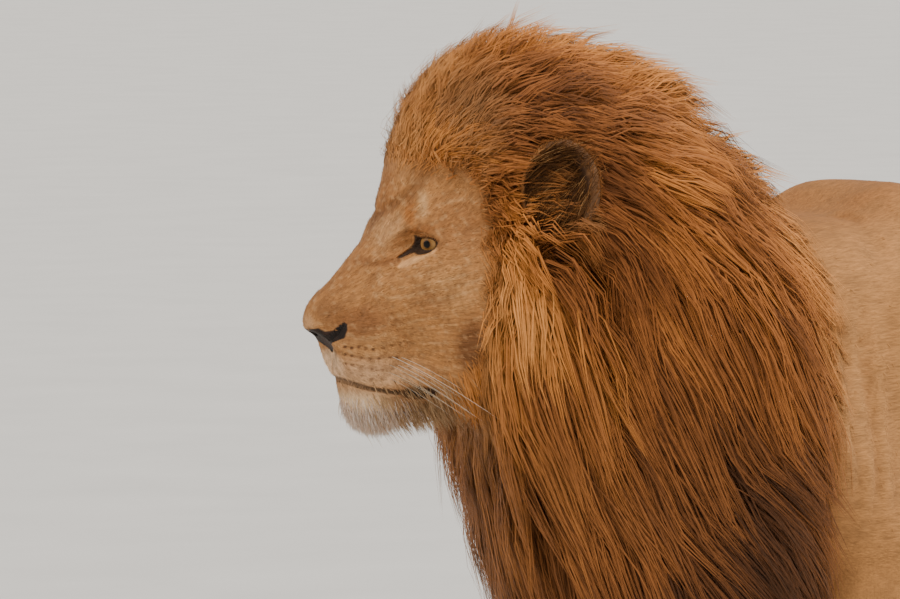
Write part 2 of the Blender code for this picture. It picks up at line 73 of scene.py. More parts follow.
# ---------------------------------------------------------------- sizes of the dressed model
SKIN_STEP = 0.005
SETTLING_STEPS = 6  # moves of a point onto the skin
FITTING_STEPS = 4  # moves of the mesh onto the folded skin
BODY_TRIANGLES = 52000
CORE_DEPTH = 0.05  # how far the mane's core lies inside the tips of its hair
LOCKS = 5700
STRANDS_PER_LOCK = 10
HAIRLINE_HAIRS = 10500  # where the face's short coat meets the mane
BODY_TUFTS = 7000
FACE_TUFTS = 9000
MUZZLE_TUFTS = 4500
FOOT_TUFTS = 3600
BELLY_TUFTS = 1200
ELBOW_TUFTS = 600
TAIL_HAIRS = 1200
CHIN_HAIRS = 1900
JAW_HAIRS = 1200
EAR_HAIRS = 1300  # in the cup, and as many on the rim and back
WHISKER_REACH = (0.06, 0.115)
PATCH = 0.003  # side of one hair's patch on the skin's unwrap
chance = np.random.default_rng(7)


def in_head(point):
    return HEAD_ORIGIN + HEAD_TURN @ Vector(point)


def head_frame(points):
    return (points - np.array(HEAD_ORIGIN)) @ HEAD_AXES


def from_head(points):
    return points @ HEAD_AXES.T + np.array(HEAD_ORIGIN)


def head_way(*way):
    """A direction of the head's frame, as one of the model's."""
    return np.array(way) @ HEAD_AXES.T


def on_left(q):
    """The head's points, with those of its right side moved over to the left."""
    return np.stack([q[:, 0], np.abs(q[:, 1]), q[:, 2]], axis=1)


def away_from(points, place):
    return np.linalg.norm(points - np.array(place), axis=1)


def oval(points, place, radii):
    """How far each point is from a place, in radii that differ along each axis."""
    return np.linalg.norm((points - np.array(place)) / np.array(radii), axis=1)


eye_box = [np.array(corner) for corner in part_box("eye_left")]
SHIFT = (eye_box[0] + eye_box[1]) / 2 - np.array(in_head(EYE_PLACE))


# ---------------------------------------------------------------- masses of flesh and mane
class Mass:
    def __init__(self, distance, centre, reach, blend):
        self.distance, self.centre, self.reach, self.blend = distance, centre, reach, blend


def lump(centre, half, blend, tilt=0.0, swing=0.0, roll=0.0, head=False):
    """tilt lifts the front end, swing turns it left and roll leans the top to the right, in degrees."""
    turn = Euler((math.radians(roll), math.radians(-tilt), math.radians(swing)), "XYZ").to_matrix()
    if head:
        centre, turn = in_head(centre), HEAD_TURN @ turn
    middle, axes, half = np.array(centre), np.array(turn), np.array(half)

    def distance(points):
        local = (points - middle) @ axes
        scaled = np.linalg.norm(local / half, axis=1)
        slope = np.linalg.norm(local / half**2, axis=1)
        return scaled * (scaled - 1.0) / np.maximum(slope, 1e-6)

    return Mass(distance, middle, half.max(), blend)


def bar(start, end, start_radius, end_radius, blend, flat=1.0, head=False):
    """A tapered round bar. flat narrows it from side to side."""
    if head:
        start, end = in_head(start), in_head(end)
    side = np.array(HEAD_TURN @ Vector((0, 1, 0))) if head else np.array((0.0, 1.0, 0.0))
    first, run = np.array(start), np.array(end) - np.array(start)

    def distance(points):
        offset = points - first
        along = np.clip(offset @ run / (run @ run), 0.0, 1.0)
        away = offset - along[:, None] * run
        away += (away @ side)[:, None] * (1.0 / flat - 1.0) * side
        radius = start_radius + along * (end_radius - start_radius)
        return (np.linalg.norm(away, axis=1) - radius) * flat

    reach = np.linalg.norm(run) / 2 + max(start_radius, end_radius)
    return Mass(distance, first + run / 2, reach, blend)


head_lump, head_bar = partial(lump, head=True), partial(bar, head=True)


def melted(points, masses):
    field = np.full(len(points), FIELD_REACH)
    for mass in masses:
        near = np.abs(points - mass.centre).max(axis=1) < mass.reach + FIELD_REACH
        old, new = field[near], mass.distance(points[near])
        overlap = np.maximum(mass.blend - np.abs(old - new), 0.0)
        field[near] = np.minimum(old, new) - overlap**2 / (4 * mass.blend)
    return field


def carved(field, points, hollows):
    for mass in hollows:
        near = np.abs(points - mass.centre).max(axis=1) < mass.reach + FIELD_REACH
        old, new = field[near], -mass.distance(points[near])
        overlap = np.maximum(mass.blend - np.abs(old - new), 0.0)
        field[near] = np.maximum(old, new) + overlap**2 / (4 * mass.blend)
    return field


def smooth_union(first, second, blend):
    overlap = np.maximum(blend - np.abs(first - second), 0.0)
    return np.minimum(first, second) - overlap**2 / (4 * blend)


def trunk_masses():
    masses = [
        lump((0.17, 0, 0.8325), (0.4, 0.17, 0.228), 0.05),
        lump((0.44, 0, 0.8025), (0.2, 0.15, 0.205), 0.06),
        lump((-0.19, 0, 0.8325), (0.37, 0.15, 0.19), 0.07, tilt=-3),
        lump((-0.33, 0, 0.915), (0.26, 0.13, 0.125), 0.06),
        lump((-0.53, 0, 0.91), (0.225, 0.145, 0.135), 0.06, tilt=7),
        bar((0.19, 0, 1.028), (0.02, 0, 0.985), 0.058, 0.055, 0.06),
        bar((0.02, 0, 0.985), (-0.5, 0, 0.985), 0.055, 0.052, 0.06),
    ]
    for side in SIDES.values():
        masses += [
            bar((0.22, side * 0.055, 1.012), (-0.46, side * 0.055, 0.985), 0.055, 0.05, 0.05),
            bar((-0.46, side * 0.095, 0.975), (-0.66, side * 0.06, 0.95), 0.05, 0.045, 0.06),
        ]
    return masses


def foreleg_masses(side, stride):
    shoulder = Vector((0.51 + 0.05 * stride, side * 0.15, 0.79))
    elbow = Vector((0.345 + 0.25 * stride, side * 0.16, 0.63))
    wrist = Vector((0.375 + 0.85 * stride, side * 0.148, 0.215))
    knuckle = Vector((0.405 + stride, side * 0.145, 0.072))
    x, y = knuckle.x, knuckle.y
    masses = [
        bar((0.24, side * 0.068, 1.005), shoulder, 0.052, 0.092, 0.09, flat=0.72),
        bar(shoulder, elbow, 0.09, 0.066, 0.05, flat=0.85),
        bar((0.33, side * 0.115, 0.92), elbow + Vector((-0.005, -0.01 * side, 0.03)),
            0.08, 0.06, 0.08, flat=0.75),
        lump(elbow + Vector((0.02, 0, -0.075)), (0.07, 0.056, 0.115), 0.04, tilt=4),
        bar(elbow + Vector((-0.028, 0, 0.0)), wrist, 0.052, 0.04, 0.04),
        bar(elbow + Vector((0.03, 0, -0.05)), wrist + Vector((0.008, 0, 0)), 0.05, 0.04, 0.04),
        lump(wrist, (0.045, 0.047, 0.055), 0.03),
        bar(wrist, knuckle + Vector((-0.015, 0, 0.025)), 0.041, 0.046, 0.03),
        lump((x - 0.012, y, 0.045), (0.072, 0.06, 0.045), 0.03),
        lump((x - 0.05, y, 0.03), (0.04, 0.042, 0.034), 0.02),
        lump(wrist + Vector((-0.042, 0, -0.018)), (0.016, 0.014, 0.018), 0.015),
    ]
    return masses + toe_masses((x + 0.028, y), side, 1.0)


TOES = []  # each toe's tip, for its claw


def toe_masses(root, side, size):
    masses = []
    for place, reach in ((-1.5, 0.03), (-0.5, 0.047), (0.5, 0.049), (1.5, 0.033)):
        spread = place * 0.0285 * size
        y = root[1] + side * spread
        knuckle = (root[0] + 0.25 * reach * size, y, 0.046 * size)
        tip = (root[0] + (reach + 0.006) * size, y + side * 0.15 * spread, 0.026 * size)
        masses.append(bar(knuckle, tip, 0.0215 * size, 0.0205 * size, 0.009))
        TOES.append((np.array(tip), side * 0.15 * place, size))
    return masses


def hind_leg_masses(side, stride):
    hip = Vector((-0.56, side * 0.085, 0.89))
    knee = Vector((-0.425 + 0.2 * stride, side * 0.14, 0.61))
    hock = Vector((-0.715 + 0.75 * stride, side * 0.13, 0.335))
    ankle = Vector((-0.672 + stride, side * 0.135, 0.085))
    x, y = ankle.x + 0.04, ankle.y
    masses = [
        lump((-0.545, side * 0.1, 0.8), (0.15, 0.07, 0.195), 0.05, tilt=-14),
        bar(hip, knee, 0.13, 0.078, 0.05, flat=0.62),
        bar((-0.68, side * 0.07, 0.87), (-0.61 + 0.15 * stride, side * 0.125, 0.56),
            0.078, 0.052, 0.05, flat=0.75),
        bar((-0.36, side * 0.125, 0.8), knee + Vector((0.01, 0, 0.02)), 0.05, 0.055, 0.05, flat=0.6),
        bar(knee, hock + Vector((0.015, 0, 0.015)), 0.074, 0.036, 0.04, flat=0.78),
        bar(knee + Vector((-0.07, 0, -0.02)), knee.lerp(hock, 0.62), 0.062, 0.035, 0.05, flat=0.8),
        bar(knee.lerp(hock, 0.45) + Vector((-0.055, 0, 0.02)), hock + Vector((-0.042, 0, 0.03)),
            0.024, 0.021, 0.03),
        lump(hock, (0.044, 0.036, 0.048), 0.03),
        lump(hock + Vector((-0.038, 0, 0.022)), (0.022, 0.022, 0.03), 0.02),
        bar(hock, ankle, 0.036, 0.037, 0.03),
        bar(hock + Vector((-0.02, 0, -0.03)), ankle + Vector((-0.01, 0, 0.02)), 0.026, 0.028, 0.03),
        lump((x - 0.006, y, 0.043), (0.07, 0.053, 0.043), 0.03),
        lump((x - 0.04, y, 0.028), (0.035, 0.038, 0.031), 0.02),
    ]
    return masses + toe_masses((x + 0.03, y), side, 0.92)


def tail_line():
    return [
        (Vector((-0.7 - 0.135 * math.sin(turn) - 0.085 * share**3, 0.055 * share**2,
                 0.99 - 0.72 * share + 0.05 * math.sin(turn) * (1 - share))), 0.05 - 0.034 * share**0.6)
        for share in np.linspace(0.0, 1.0, 13)
        for turn in [min(share / 0.35, 1.0) * math.pi / 2]
    ]


def tail_masses():
    line = tail_line()
    return [bar(a, b, ra, rb, 0.003) for (a, ra), (b, rb) in zip(line, line[1:])]


def neck_masses():
    return [
        bar((0.4, 0, 0.905), in_head((-0.17, 0.0, 0.01)), 0.12, 0.088, 0.08),
        bar((0.47, 0, 0.83), in_head((-0.13, 0.0, -0.11)), 0.15, 0.085, 0.08),
        bar((0.46, 0, 0.91), in_head((-0.15, 0, -0.05)), 0.15, 0.09, 0.08),
    ]


def head_masses():
    masses = [
        head_lump((-0.13, 0, -0.005), (0.112, 0.088, 0.082), 0.03),
        head_lump((-0.046, 0, 0.006), (0.078, 0.074, 0.062), 0.03, tilt=-10),
        head_lump((0.000, 0, 0.031), (0.04, 0.04, 0.037), 0.02),
        head_bar((0.012, 0, -0.014), (0.088, 0, -0.08), 0.045, 0.029, 0.025, flat=1.06),
        head_lump((0.097, 0, -0.094), (0.034, 0.037, 0.032), 0.015, tilt=-12),
        head_lump((0.036, 0, -0.108), (0.072, 0.058, 0.058), 0.03),
        head_lump((0.062, 0, -0.15), (0.035, 0.032, 0.019), 0.012),
        head_bar((0.049, 0, -0.176), (-0.06, 0, -0.15), 0.033, 0.05, 0.03),
        head_lump((0.047, 0, -0.188), (0.033, 0.033, 0.032), 0.02),
        head_lump((-0.08, 0, -0.11), (0.11, 0.08, 0.08), 0.04),
    ]
    for side in SIDES.values():
        masses += [
            head_lump((-0.004, side * 0.049, 0.025), (0.04, 0.027, 0.02), 0.02, tilt=-36),
            head_lump((0.05, side * 0.034, -0.132), (0.048, 0.034, 0.038), 0.018, swing=-8 * side),
            head_bar((0.016, side * 0.04, -0.046), (0.046, side * 0.04, -0.104), 0.034, 0.034, 0.03),
            head_lump((-0.05, side * 0.07, -0.046), (0.084, 0.046, 0.054), 0.045, tilt=-6, swing=-16 * side),
            head_lump((-0.075, side * 0.068, -0.11), (0.074, 0.046, 0.062), 0.035, swing=-10 * side),
            head_bar((0.04, side * 0.022, -0.178), (-0.05, side * 0.058, -0.158), 0.024, 0.034, 0.025),
        ]
    return masses


def head_hollows():
    hollows = [head_lump((0.13, 0, -0.137), (0.034, 0.05, 0.03), 0.007)]
    for side in SIDES.values():
        hollows += [
            head_lump((0.032, side * 0.064, -0.01), (0.03, 0.018, 0.016), 0.018, tilt=-38),
            head_lump((0.01, side * 0.084, 0.000), (0.022, 0.022, 0.012), 0.008),
        ]
    return hollows


def mane_masses():
    masses = [
        head_lump((-0.141, 0, 0.075), (0.171, 0.148, 0.18), 0.05, tilt=4),
        head_lump((-0.27, 0, 0.026), (0.142, 0.17, 0.178), 0.06),
        head_lump((-0.178, 0, -0.23), (0.105, 0.13, 0.17), 0.06, tilt=-6),
        lump((0.615, 0, 0.92), (0.235, 0.238, 0.248), 0.08),
        lump((0.588, 0, 0.712), (0.244, 0.228, 0.228), 0.08),
        lump((0.6, 0, 0.86), (0.162, 0.262, 0.23), 0.06),
        lump((0.595, 0, 0.565), (0.14, 0.07, 0.14), 0.06, tilt=8),
        bar((0.52, 0, 1.000), (0.415, 0, 0.96), 0.135, 0.075, 0.06),
    ]
    for side in SIDES.values():
        masses += [
            head_lump((-0.138, side * 0.104, -0.13), (0.085, 0.088, 0.195), 0.05, roll=-5 * side),
        ]
    return masses


BODY_MASSES = trunk_masses() + neck_masses() + tail_masses()
for side_name, side_sign in SIDES.items():
    BODY_MASSES += foreleg_masses(side_sign, FORE_STRIDE[side_name])
    BODY_MASSES += hind_leg_masses(side_sign, HIND_STRIDE[side_name])
HEAD_MASSES = head_masses()
HEAD_HOLLOWS = head_hollows()
MANE_MASSES = mane_masses()
EAR_BAYS = [
    head_lump((-0.128, side * 0.178, 0.068), (0.074, 0.071, 0.072), 0.02)
    for side in SIDES.values()
]
EARS = [
    (
        head_lump((-0.15, side * 0.128, 0.064), (0.034, 0.049, 0.062), 0.01, swing=58 * side),
        head_lump((-0.134, side * 0.153, 0.064), (0.033, 0.043, 0.055), 0.006, swing=58 * side),
        head_bar((-0.14, side * 0.07, 0.02), (-0.147, side * 0.112, 0.034), 0.03, 0.026, 0.02),
    )
    for side in SIDES.values()
]


HAIR_BAYS = [
    head_lump((-0.158, side * 0.186, 0.068), (0.038, 0.05, 0.04), 0.02)
    for side in SIDES.values()
]


def beyond_face(q):
    """How far each point of the head lies outside the short-haired face: negative on the face."""
    seen = quarter_view(q)
    ahead, up = seen[:, 0], seen[:, 1]
    ragged = 0.003 * np.sin(140 * up + 60 * ahead) + 0.0016 * np.sin(330 * up - 90 * ahead)
    return in_outline(seen, FACE_EDGE) + ragged


def mane_envelope(points):
    """The distance outside the tips of the mane's hair: negative within it."""
    return carved(melted(points, MANE_MASSES), points, EAR_BAYS)


def lock_envelope(points):
    """As the mane's envelope, but closer round the ears, so that locks fall over their rims."""
    return carved(melted(points, MANE_MASSES), points, HAIR_BAYS)


def core_depth(points):
    """How far the mane's core lies inside the tips of its hair: least at the brow, where the mane begins."""
    q = head_frame(points)
    brow = smoothstep(-0.125, -0.035, q[:, 0]) * smoothstep(0.01, 0.045, q[:, 2])
    depth = CORE_DEPTH * (1.0 - 0.76 * brow)
    near = (q[:, 0] > -0.13) & (np.abs(q[:, 1]) < 0.13) & (q[:, 2] > -0.03) & (q[:, 2] < 0.16)
    face = smoothstep(0.04, -0.012, beyond_face(q[near])) * smoothstep(-0.01, 0.04, q[near, 2])
    face *= smoothstep(-0.09, -0.03, q[near, 0])
    depth[near] += face * (0.003 + 0.032 * smoothstep(0.03, 0.085, np.abs(q[near, 1])) - depth[near])
    return depth


def flesh(points):
    return carved(melted(points, BODY_MASSES + HEAD_MASSES), points, HEAD_HOLLOWS)


def skin_field(points):
    field = smooth_union(flesh(points), mane_envelope(points) + core_depth(points), 0.03)
    for outer, cup, root in EARS:
        ear = carved(melted(points, [root, outer]), points, [cup])
        field = smooth_union(field, ear, 0.012)
    return field


# ---------------------------------------------------------------- folds, lids, nose and lips
def smoothstep(low, high, value):
    share = np.clip((value - low) / (high - low), 0.0, 1.0)
    return share * share * (3.0 - 2.0 * share)


def bell(distance, width):
    return np.exp(-(distance / width) ** 2)


def to_line(points, line):
    """The distance of each 2-D point from a line of 2-D points, and how far along it, from 0 to 1."""
    line = np.array(line)
    best, along = np.full(len(points), 1e9), np.zeros(len(points))
    lengths = np.linalg.norm(np.diff(line, axis=0), axis=1)
    done = 0.0
    for start, end, length in zip(line, line[1:], lengths):
        share = np.clip((points - start) @ (end - start) / length**2, 0.0, 1.0)
        away = np.linalg.norm(points - start - share[:, None] * (end - start), axis=1)
        nearer = away < best
        best[nearer] = away[nearer]
        along[nearer] = (done + share[nearer] * length) / lengths.sum()
        done += length
    return best, along


def beside(points, line, width):
    """1 on a line, and fading to 0 beside it."""
    return bell(to_line(points, line)[0], width)


def in_outline(points, outline):
    """The signed distance of each 2-D point from a closed outline: negative inside."""
    outline = np.array(outline)
    away, _ = to_line(points, np.vstack([outline, outline[:1]]))
    inside = np.zeros(len(points), bool)
    for start, end in zip(outline, np.roll(outline, -1, axis=0)):
        crosses = (start[1] > points[:, 1]) != (end[1] > points[:, 1])
        at = start[0] + (points[:, 1] - start[1]) * (end[0] - start[0]) / (end[1] - start[1] + 1e-12)
        inside ^= crosses & (points[:, 0] < at)
    return np.where(inside, -away, away)


GAZE_OUT, GAZE_DOWN = math.radians(42), math.radians(3)
LID_THICKNESS = 0.0022
LIP_LINE = [
    (0.14, -0.162), (0.0955, -0.1638), (0.0644, -0.1747), (0.0373, -0.179), (0.0169, -0.1803),
    (-0.009, -0.177),
]
BETWEEN_LIDS = [
    (-0.0138, 0.0006), (-0.0095, 0.0036), (-0.004, 0.0054), (0.003, 0.0064), (0.0095, 0.0072),
    (0.015, 0.0078), (0.0172, 0.002), (0.019, -0.004), (0.0185, -0.009), (0.015, -0.0098),
    (0.01, -0.0104), (0.004, -0.0108), (-0.003, -0.0098), (-0.0085, -0.007), (-0.012, -0.003),
]
INNER_CORNER = [
    (0.014, 0.007), (0.0185, 0.011), (0.018, 0.0035), (0.026, -0.006), (0.037, -0.0144), (0.04, -0.019),
    (0.032, -0.0165), (0.02, -0.0112), (0.012, -0.01),
]
PALE_LID = [
    (-0.0152, -0.0036), (-0.0138, -0.0096), (-0.0041, -0.0168), (0.0166, -0.0255), (0.034, -0.03),
    (0.031, -0.0215), (0.0124, -0.0135), (-0.0014, -0.0122), (-0.0097, -0.0072),
]
LEATHER = [
    (0.15, -0.1069), (0.1336, -0.1069), (0.1278, -0.1041), (0.1217, -0.1023), (0.1146, -0.106),
    (0.1064, -0.1045), (0.1007, -0.0981), (0.0955, -0.094), (0.0925, -0.0965), (0.093, -0.1083),
    (0.0965, -0.115), (0.095, -0.1335), (0.15, -0.1335),
]
NOSTRIL = [
    (0.12, 0.009, -0.117), (0.115, 0.017, -0.115), (0.107, 0.027, -0.111), (0.099, 0.036, -0.1055),
    (0.095, 0.042, -0.0985),
]
NOSTRIL_RADII = (0.0036, 0.0048, 0.0042, 0.0028, 0.0014)
# lines on the face, as ahead of the eye and up in the quarter view
BROW_FURROW = [
    (0.082, 0.003), (0.07, 0.019), (0.0545, 0.034), (0.037, 0.047), (0.0204, 0.0564), (0.0084, 0.0732),
    (-0.0036, 0.0924), (-0.0144, 0.1116),
]
CHEEK_CREASE = [(-0.004, -0.15), (-0.018, -0.168), (-0.02, -0.19)]  # ahead and up in the side view
EYE_FURROW = [(0.03, -0.0204), (0.0468, -0.0252), (0.0636, -0.0264), (0.0828, -0.0216)]
CHEEK_FURROWS = (
    [(0.0588, -0.03), (0.0648, -0.0504), (0.0708, -0.0708), (0.0756, -0.0876)],
    [(0.0252, -0.0396), (0.0132, -0.0468), (0.0012, -0.0564), (-0.0072, -0.0684)],
    [(0.0492, -0.0684), (0.0396, -0.09), (0.0276, -0.1092), (0.0156, -0.1236)],
)
WHISKER_ROWS = (
    [(0.096, -0.1248), (0.0876, -0.1261), (0.0792, -0.1248), (0.0708, -0.1267), (0.0624, -0.1273),
     (0.0504, -0.1255), (0.0396, -0.1236), (0.03, -0.1212)],
    [(0.096, -0.1339), (0.0876, -0.1357), (0.0768, -0.1381), (0.066, -0.1393), (0.0552, -0.1387),
     (0.042, -0.1375), (0.0336, -0.1381)],
    [(0.096, -0.1453), (0.0876, -0.1465), (0.0756, -0.1489), (0.0636, -0.1513), (0.0516, -0.1525),
     (0.0396, -0.1513)],
    [(0.0876, -0.1561), (0.0756, -0.1597), (0.0636, -0.1633), (0.0516, -0.1645)],
)


# where the mane begins round the face, in the quarter view
FACE_EDGE = [
    (0.0492, 0.108), (0.03, 0.093), (-0.006, 0.085), (-0.0456, 0.085), (-0.069, 0.0576),
    (-0.076, 0.0312), (-0.07, -0.0204), (-0.076, -0.0804), (-0.067, -0.1285), (-0.03, -0.1705),
    (-0.01, -0.2365), (0.3, -0.2365), (0.3, 0.108),
]


def quarter_view(q):
    """The head from beside, 18 degrees to the front: how far each point is ahead of the eye and above it."""
    x, y = q[:, 0] + 0.002, np.abs(q[:, 1]) - 0.06
    return np.stack([0.951 * x - 0.3085 * y, q[:, 2] - 0.0215 * x - 0.0663 * y], axis=1)


def eye_frame(q):
    """Each point of the head's frame as across the eye to the front, up, and out along the gaze."""
    out = np.array([math.cos(GAZE_OUT) * math.cos(GAZE_DOWN), math.sin(GAZE_OUT) * math.cos(GAZE_DOWN),
                    -math.sin(GAZE_DOWN)])
    level = np.cross(np.array([0.0, 0.0, 1.0]), out)
    level = -level / np.linalg.norm(level)
    up = np.cross(out, level)
    up = up if up[2] > 0 else -up
    offset = q - np.array(EYE_PLACE)
    return offset @ level, offset @ up, offset @ out, np.linalg.norm(offset, axis=1)


def lid_opening(u, v):
    """The signed distance, across the lids, from the edge of the opening between them."""
    return in_outline(np.stack([u, v], axis=1), BETWEEN_LIDS)


def inner_corner(q, u, v, out):
    """The signed distance from the bare dark skin ahead of the eye."""
    near = (out > -0.012) & (out < 0.045) & (q[:, 0] < 0.045)
    return np.where(near, in_outline(np.stack([u, v], axis=1), INNER_CORNER), 0.05)


def head_folds(q):
    """How far the skin is drawn in at each point of the head, in metres, and the muzzle's soft swellings."""
    x, y, z = q[:, 0], np.abs(q[:, 1]), q[:, 2]
    side_view = np.stack([x, z], axis=1)
    lip, along = to_line(side_view, LIP_LINE)
    draw = 0.0042 * bell(lip, 0.0022) * (1 - 0.3 * along)
    under_nose = 0.003 * bell(y, 0.0018) * smoothstep(-0.164, -0.158, z)
    draw += under_nose * smoothstep(-0.128, -0.136, z) * (x > 0.07)
    u, v, out, _ = eye_frame(q)
    draw += 0.0022 * smoothstep(0.0015, -0.0015, inner_corner(q, u, v, out))
    seen = quarter_view(q)
    upper = smoothstep(-0.1, -0.06, x)
    furrow, along = to_line(seen, BROW_FURROW)
    draw += 0.003 * bell(furrow, 0.005 + 0.004 * along) * upper * smoothstep(0.075, 0.06, y)
    draw += 0.0014 * beside(seen, EYE_FURROW, 0.003) * upper
    draw -= 0.003 * smoothstep(1.3, 0.3, oval(seen, (0.046, 0.013), (0.024, 0.02))) * upper
    for depth, line in zip((0.002, 0.002, 0.003), CHEEK_FURROWS):
        draw += depth * beside(seen, line, 0.0045) * smoothstep(0.02, 0.032, y)
    draw += 0.005 * smoothstep(1.4, 0.4, oval(side_view, MOUTH_CORNER, (0.02, 0.007)))
    draw += 0.0022 * beside(side_view, CHEEK_CREASE, 0.0045) * smoothstep(-0.03, 0.0, x)
    forehead = np.abs(y - 0.004 - 0.12 * np.clip(z - 0.01, 0, 0.1))
    draw += 0.001 * bell(forehead, 0.0045) * smoothstep(-0.01, 0.03, z)
    for row in WHISKER_ROWS[:3]:
        draw += 0.0005 * beside(seen, row, 0.0018) * smoothstep(0.022, 0.03, y)
    return draw


WITHERS_NOTCH = [(0.415, 1.055), (0.39, 1.072), (0.35, 1.07), (0.32, 1.058)]
# depth, width, where it fades in from the middle line, and its line in the side view
MUSCLE_GROOVES = (
    (0.0075, 0.022, (0.06, 0.1), [(0.335, 1.02), (0.43, 0.9), (0.47, 0.8)]),
    (0.01, 0.034, (0.06, 0.1), [(-0.4, 0.93), (-0.455, 0.8), (-0.44, 0.7)]),
    (0.007, 0.024, (0.1, 0.13), [(-0.64, 0.86), (-0.6, 0.72), (-0.56, 0.6)]),
    (0.006, 0.022, (0.06, 0.1), [(0.245, 1.00), (0.205, 0.88), (0.225, 0.74)]),
)


def body_folds(points):
    """Loose skin behind the shoulder and at the flank, drawn in and let out in soft upright waves."""
    x, y, z = points[:, 0], np.abs(points[:, 1]), points[:, 2]
    lean = x + 0.04 * (z - 0.75) + 0.02 * bell(z - 0.95, 0.1)
    waves = np.sin((lean + 0.007 * np.sin(19 * z)) * 2 * math.pi / 0.042)
    outer_side = smoothstep(0.1, 0.14, y)
    here = bell(x - 0.43, 0.06) * smoothstep(0.66, 0.76, z) * smoothstep(1.02, 0.9, z) * outer_side
    draw = 0.0034 * waves * here
    waves = np.sin((x + 0.1 * (z - 0.85) + 0.008 * np.sin(21 * z)) * 2 * math.pi / 0.046)
    here = bell(x - 0.23, 0.05) * smoothstep(0.62, 0.72, z) * smoothstep(1.0, 0.86, z) * outer_side
    draw += 0.002 * waves * here
    draw += 0.0045 * beside(points[:, [0, 2]], WITHERS_NOTCH, 0.007) * smoothstep(0.04, 0.08, y)
    lean = x - 0.35 * (z - 0.75)
    waves = np.sin(lean * 2 * math.pi / 0.04)
    here = bell(x + 0.33, 0.05) * smoothstep(0.6, 0.68, z) * smoothstep(0.9, 0.78, z)
    return draw + 0.002 * waves * here


def muscle(points):
    """Broad, shallow forms under the coat: the shoulder blade, the ribs and the haunch."""
    x, y, z = points[:, 0], np.abs(points[:, 1]), points[:, 2]
    ribs = np.sin((x + 0.35 * (z - 0.8)) * 2 * math.pi / 0.062)
    here = bell(x - 0.02, 0.14) * smoothstep(0.66, 0.76, z) * smoothstep(0.98, 0.9, z)
    draw = 0.002 * ribs * here
    for depth, width, fade, line in MUSCLE_GROOVES:
        draw += depth * beside(points[:, [0, 2]], line, width) * smoothstep(*fade, y)
    return draw


def nostril_distance(q):
    """The distance from the wall of the left nostril, negative inside. The nostril follows a bent line."""
    best = np.full(len(q), 0.05)
    for start, end, first, last in zip(NOSTRIL_LINE, NOSTRIL_LINE[1:], NOSTRIL_RADII, NOSTRIL_RADII[1:]):
        share = np.clip((q - start) @ (end - start) / ((end - start) @ (end - start)), 0.0, 1.0)
        away = np.linalg.norm(q - start - share[:, None] * (end - start), axis=1)
        best = np.minimum(best, away - first - share * (last - first))
    return best


# depth, width, how far out along the gaze it starts, and its line across the lids
LID_CREASES = (
    (0.0015, 0.0016, 0.002, [(-0.015, 0.004), (-0.009, 0.008), (0.0, 0.011), (0.01, 0.013), (0.018, 0.015)]),
    (0.0012, 0.0016, 0.0, [(-0.0165, -0.004), (-0.012, -0.0125), (-0.002, -0.019), (0.016, -0.028)]),
    (-0.001, 0.003, 0.0, [(-0.012, -0.008), (-0.004, -0.014), (0.01, -0.0165), (0.026, -0.0225)]),
)


def hollowed(field, inside, blend):
    """The field with everything inside another one taken away."""
    overlap = np.maximum(blend - np.abs(field + inside), 0.0)
    return np.maximum(field, -inside) + overlap**2 / (4 * blend)


def detailed_field(points):
    field = skin_field(points) + body_folds(points) + muscle(points)
    q = head_frame(points)
    near = away_from(q, [0.03, 0, -0.06]) < 0.2
    q, close = q[near], field[near]
    q = on_left(q)
    close = close + head_folds(q)
    u, v, out, away = eye_frame(q)
    close = smooth_union(close, away - EYE_RADIUS - LID_THICKNESS, 0.01)
    plane = np.stack([u, v], axis=1)
    for depth, width, ahead, line in LID_CREASES:
        close = close + depth * beside(plane, line, width) * (out > ahead)
    hollow = np.maximum(np.maximum(lid_opening(u, v), 0.002 - out), EYE_RADIUS - 0.001 - away)
    close = hollowed(close, hollow, 0.0012)
    field[near] = hollowed(close, nostril_distance(q), 0.0016)
    return field


def gradient(field, points, step=2e-4):
    middle = field(points)
    slopes = [field(points + step * np.eye(3)[axis]) - middle for axis in range(3)]
    return middle, np.stack(slopes, axis=1) / step


def outward(field, points, step=2e-4):
    value, slope = gradient(field, points, step)
    return value, slope / np.maximum(np.linalg.norm(slope, axis=1), 1e-9)[:, None]


def settled(points, field):
    """The points moved onto the field's surface."""
    points = np.array(points, float)
    for _ in range(SETTLING_STEPS):
        value, normal = outward(field, points)
        points -= value[:, None] * normal
    return points


NOSTRIL_LINE = head_frame(settled(from_head(np.array(NOSTRIL)), skin_field))


# ---------------------------------------------------------------- colours of the coat
def shade(red, green, blue):
    """A linear colour from the usual 0 to 255."""
    value = np.array([red, green, blue]) / 255.0
    return np.where(value <= 0.04045, value / 12.92, ((value + 0.055) / 1.055) ** 2.4)


def ramp(value, stops):
    places = [place for place, _ in stops]
    return np.stack([np.interp(value, places, [colour[i] for _, colour in stops]) for i in range(3)], axis=1)


def laid_over(base, colour, share):
    return base + share[:, None] * (colour - base)


def rough_waves(points, size, seed):
    """A cheap smooth noise from -1 to 1, made of a few crossing waves."""
    turns = np.random.default_rng(seed)
    total = np.zeros(len(points))
    for _ in range(6):
        run = turns.normal(size=3)
        run *= turns.uniform(0.7, 1.4) * 2 * math.pi / size / np.linalg.norm(run)
        total += np.sin(points @ run + turns.uniform(0, 6.28))
    return np.clip(total / 3.0, -1.0, 1.0)


MANE_TONES = [
    (0.0, shade(58, 33, 18)), (0.15, shade(89, 51, 26)), (0.35, shade(134, 80, 40)),
    (0.6, shade(176, 108, 52)), (0.8, shade(204, 130, 62)), (1.0, shade(226, 151, 80)),
]
WARMTH = np.array([0.97, 0.795, 0.585])  # the dry-grass warmth over all the short coat


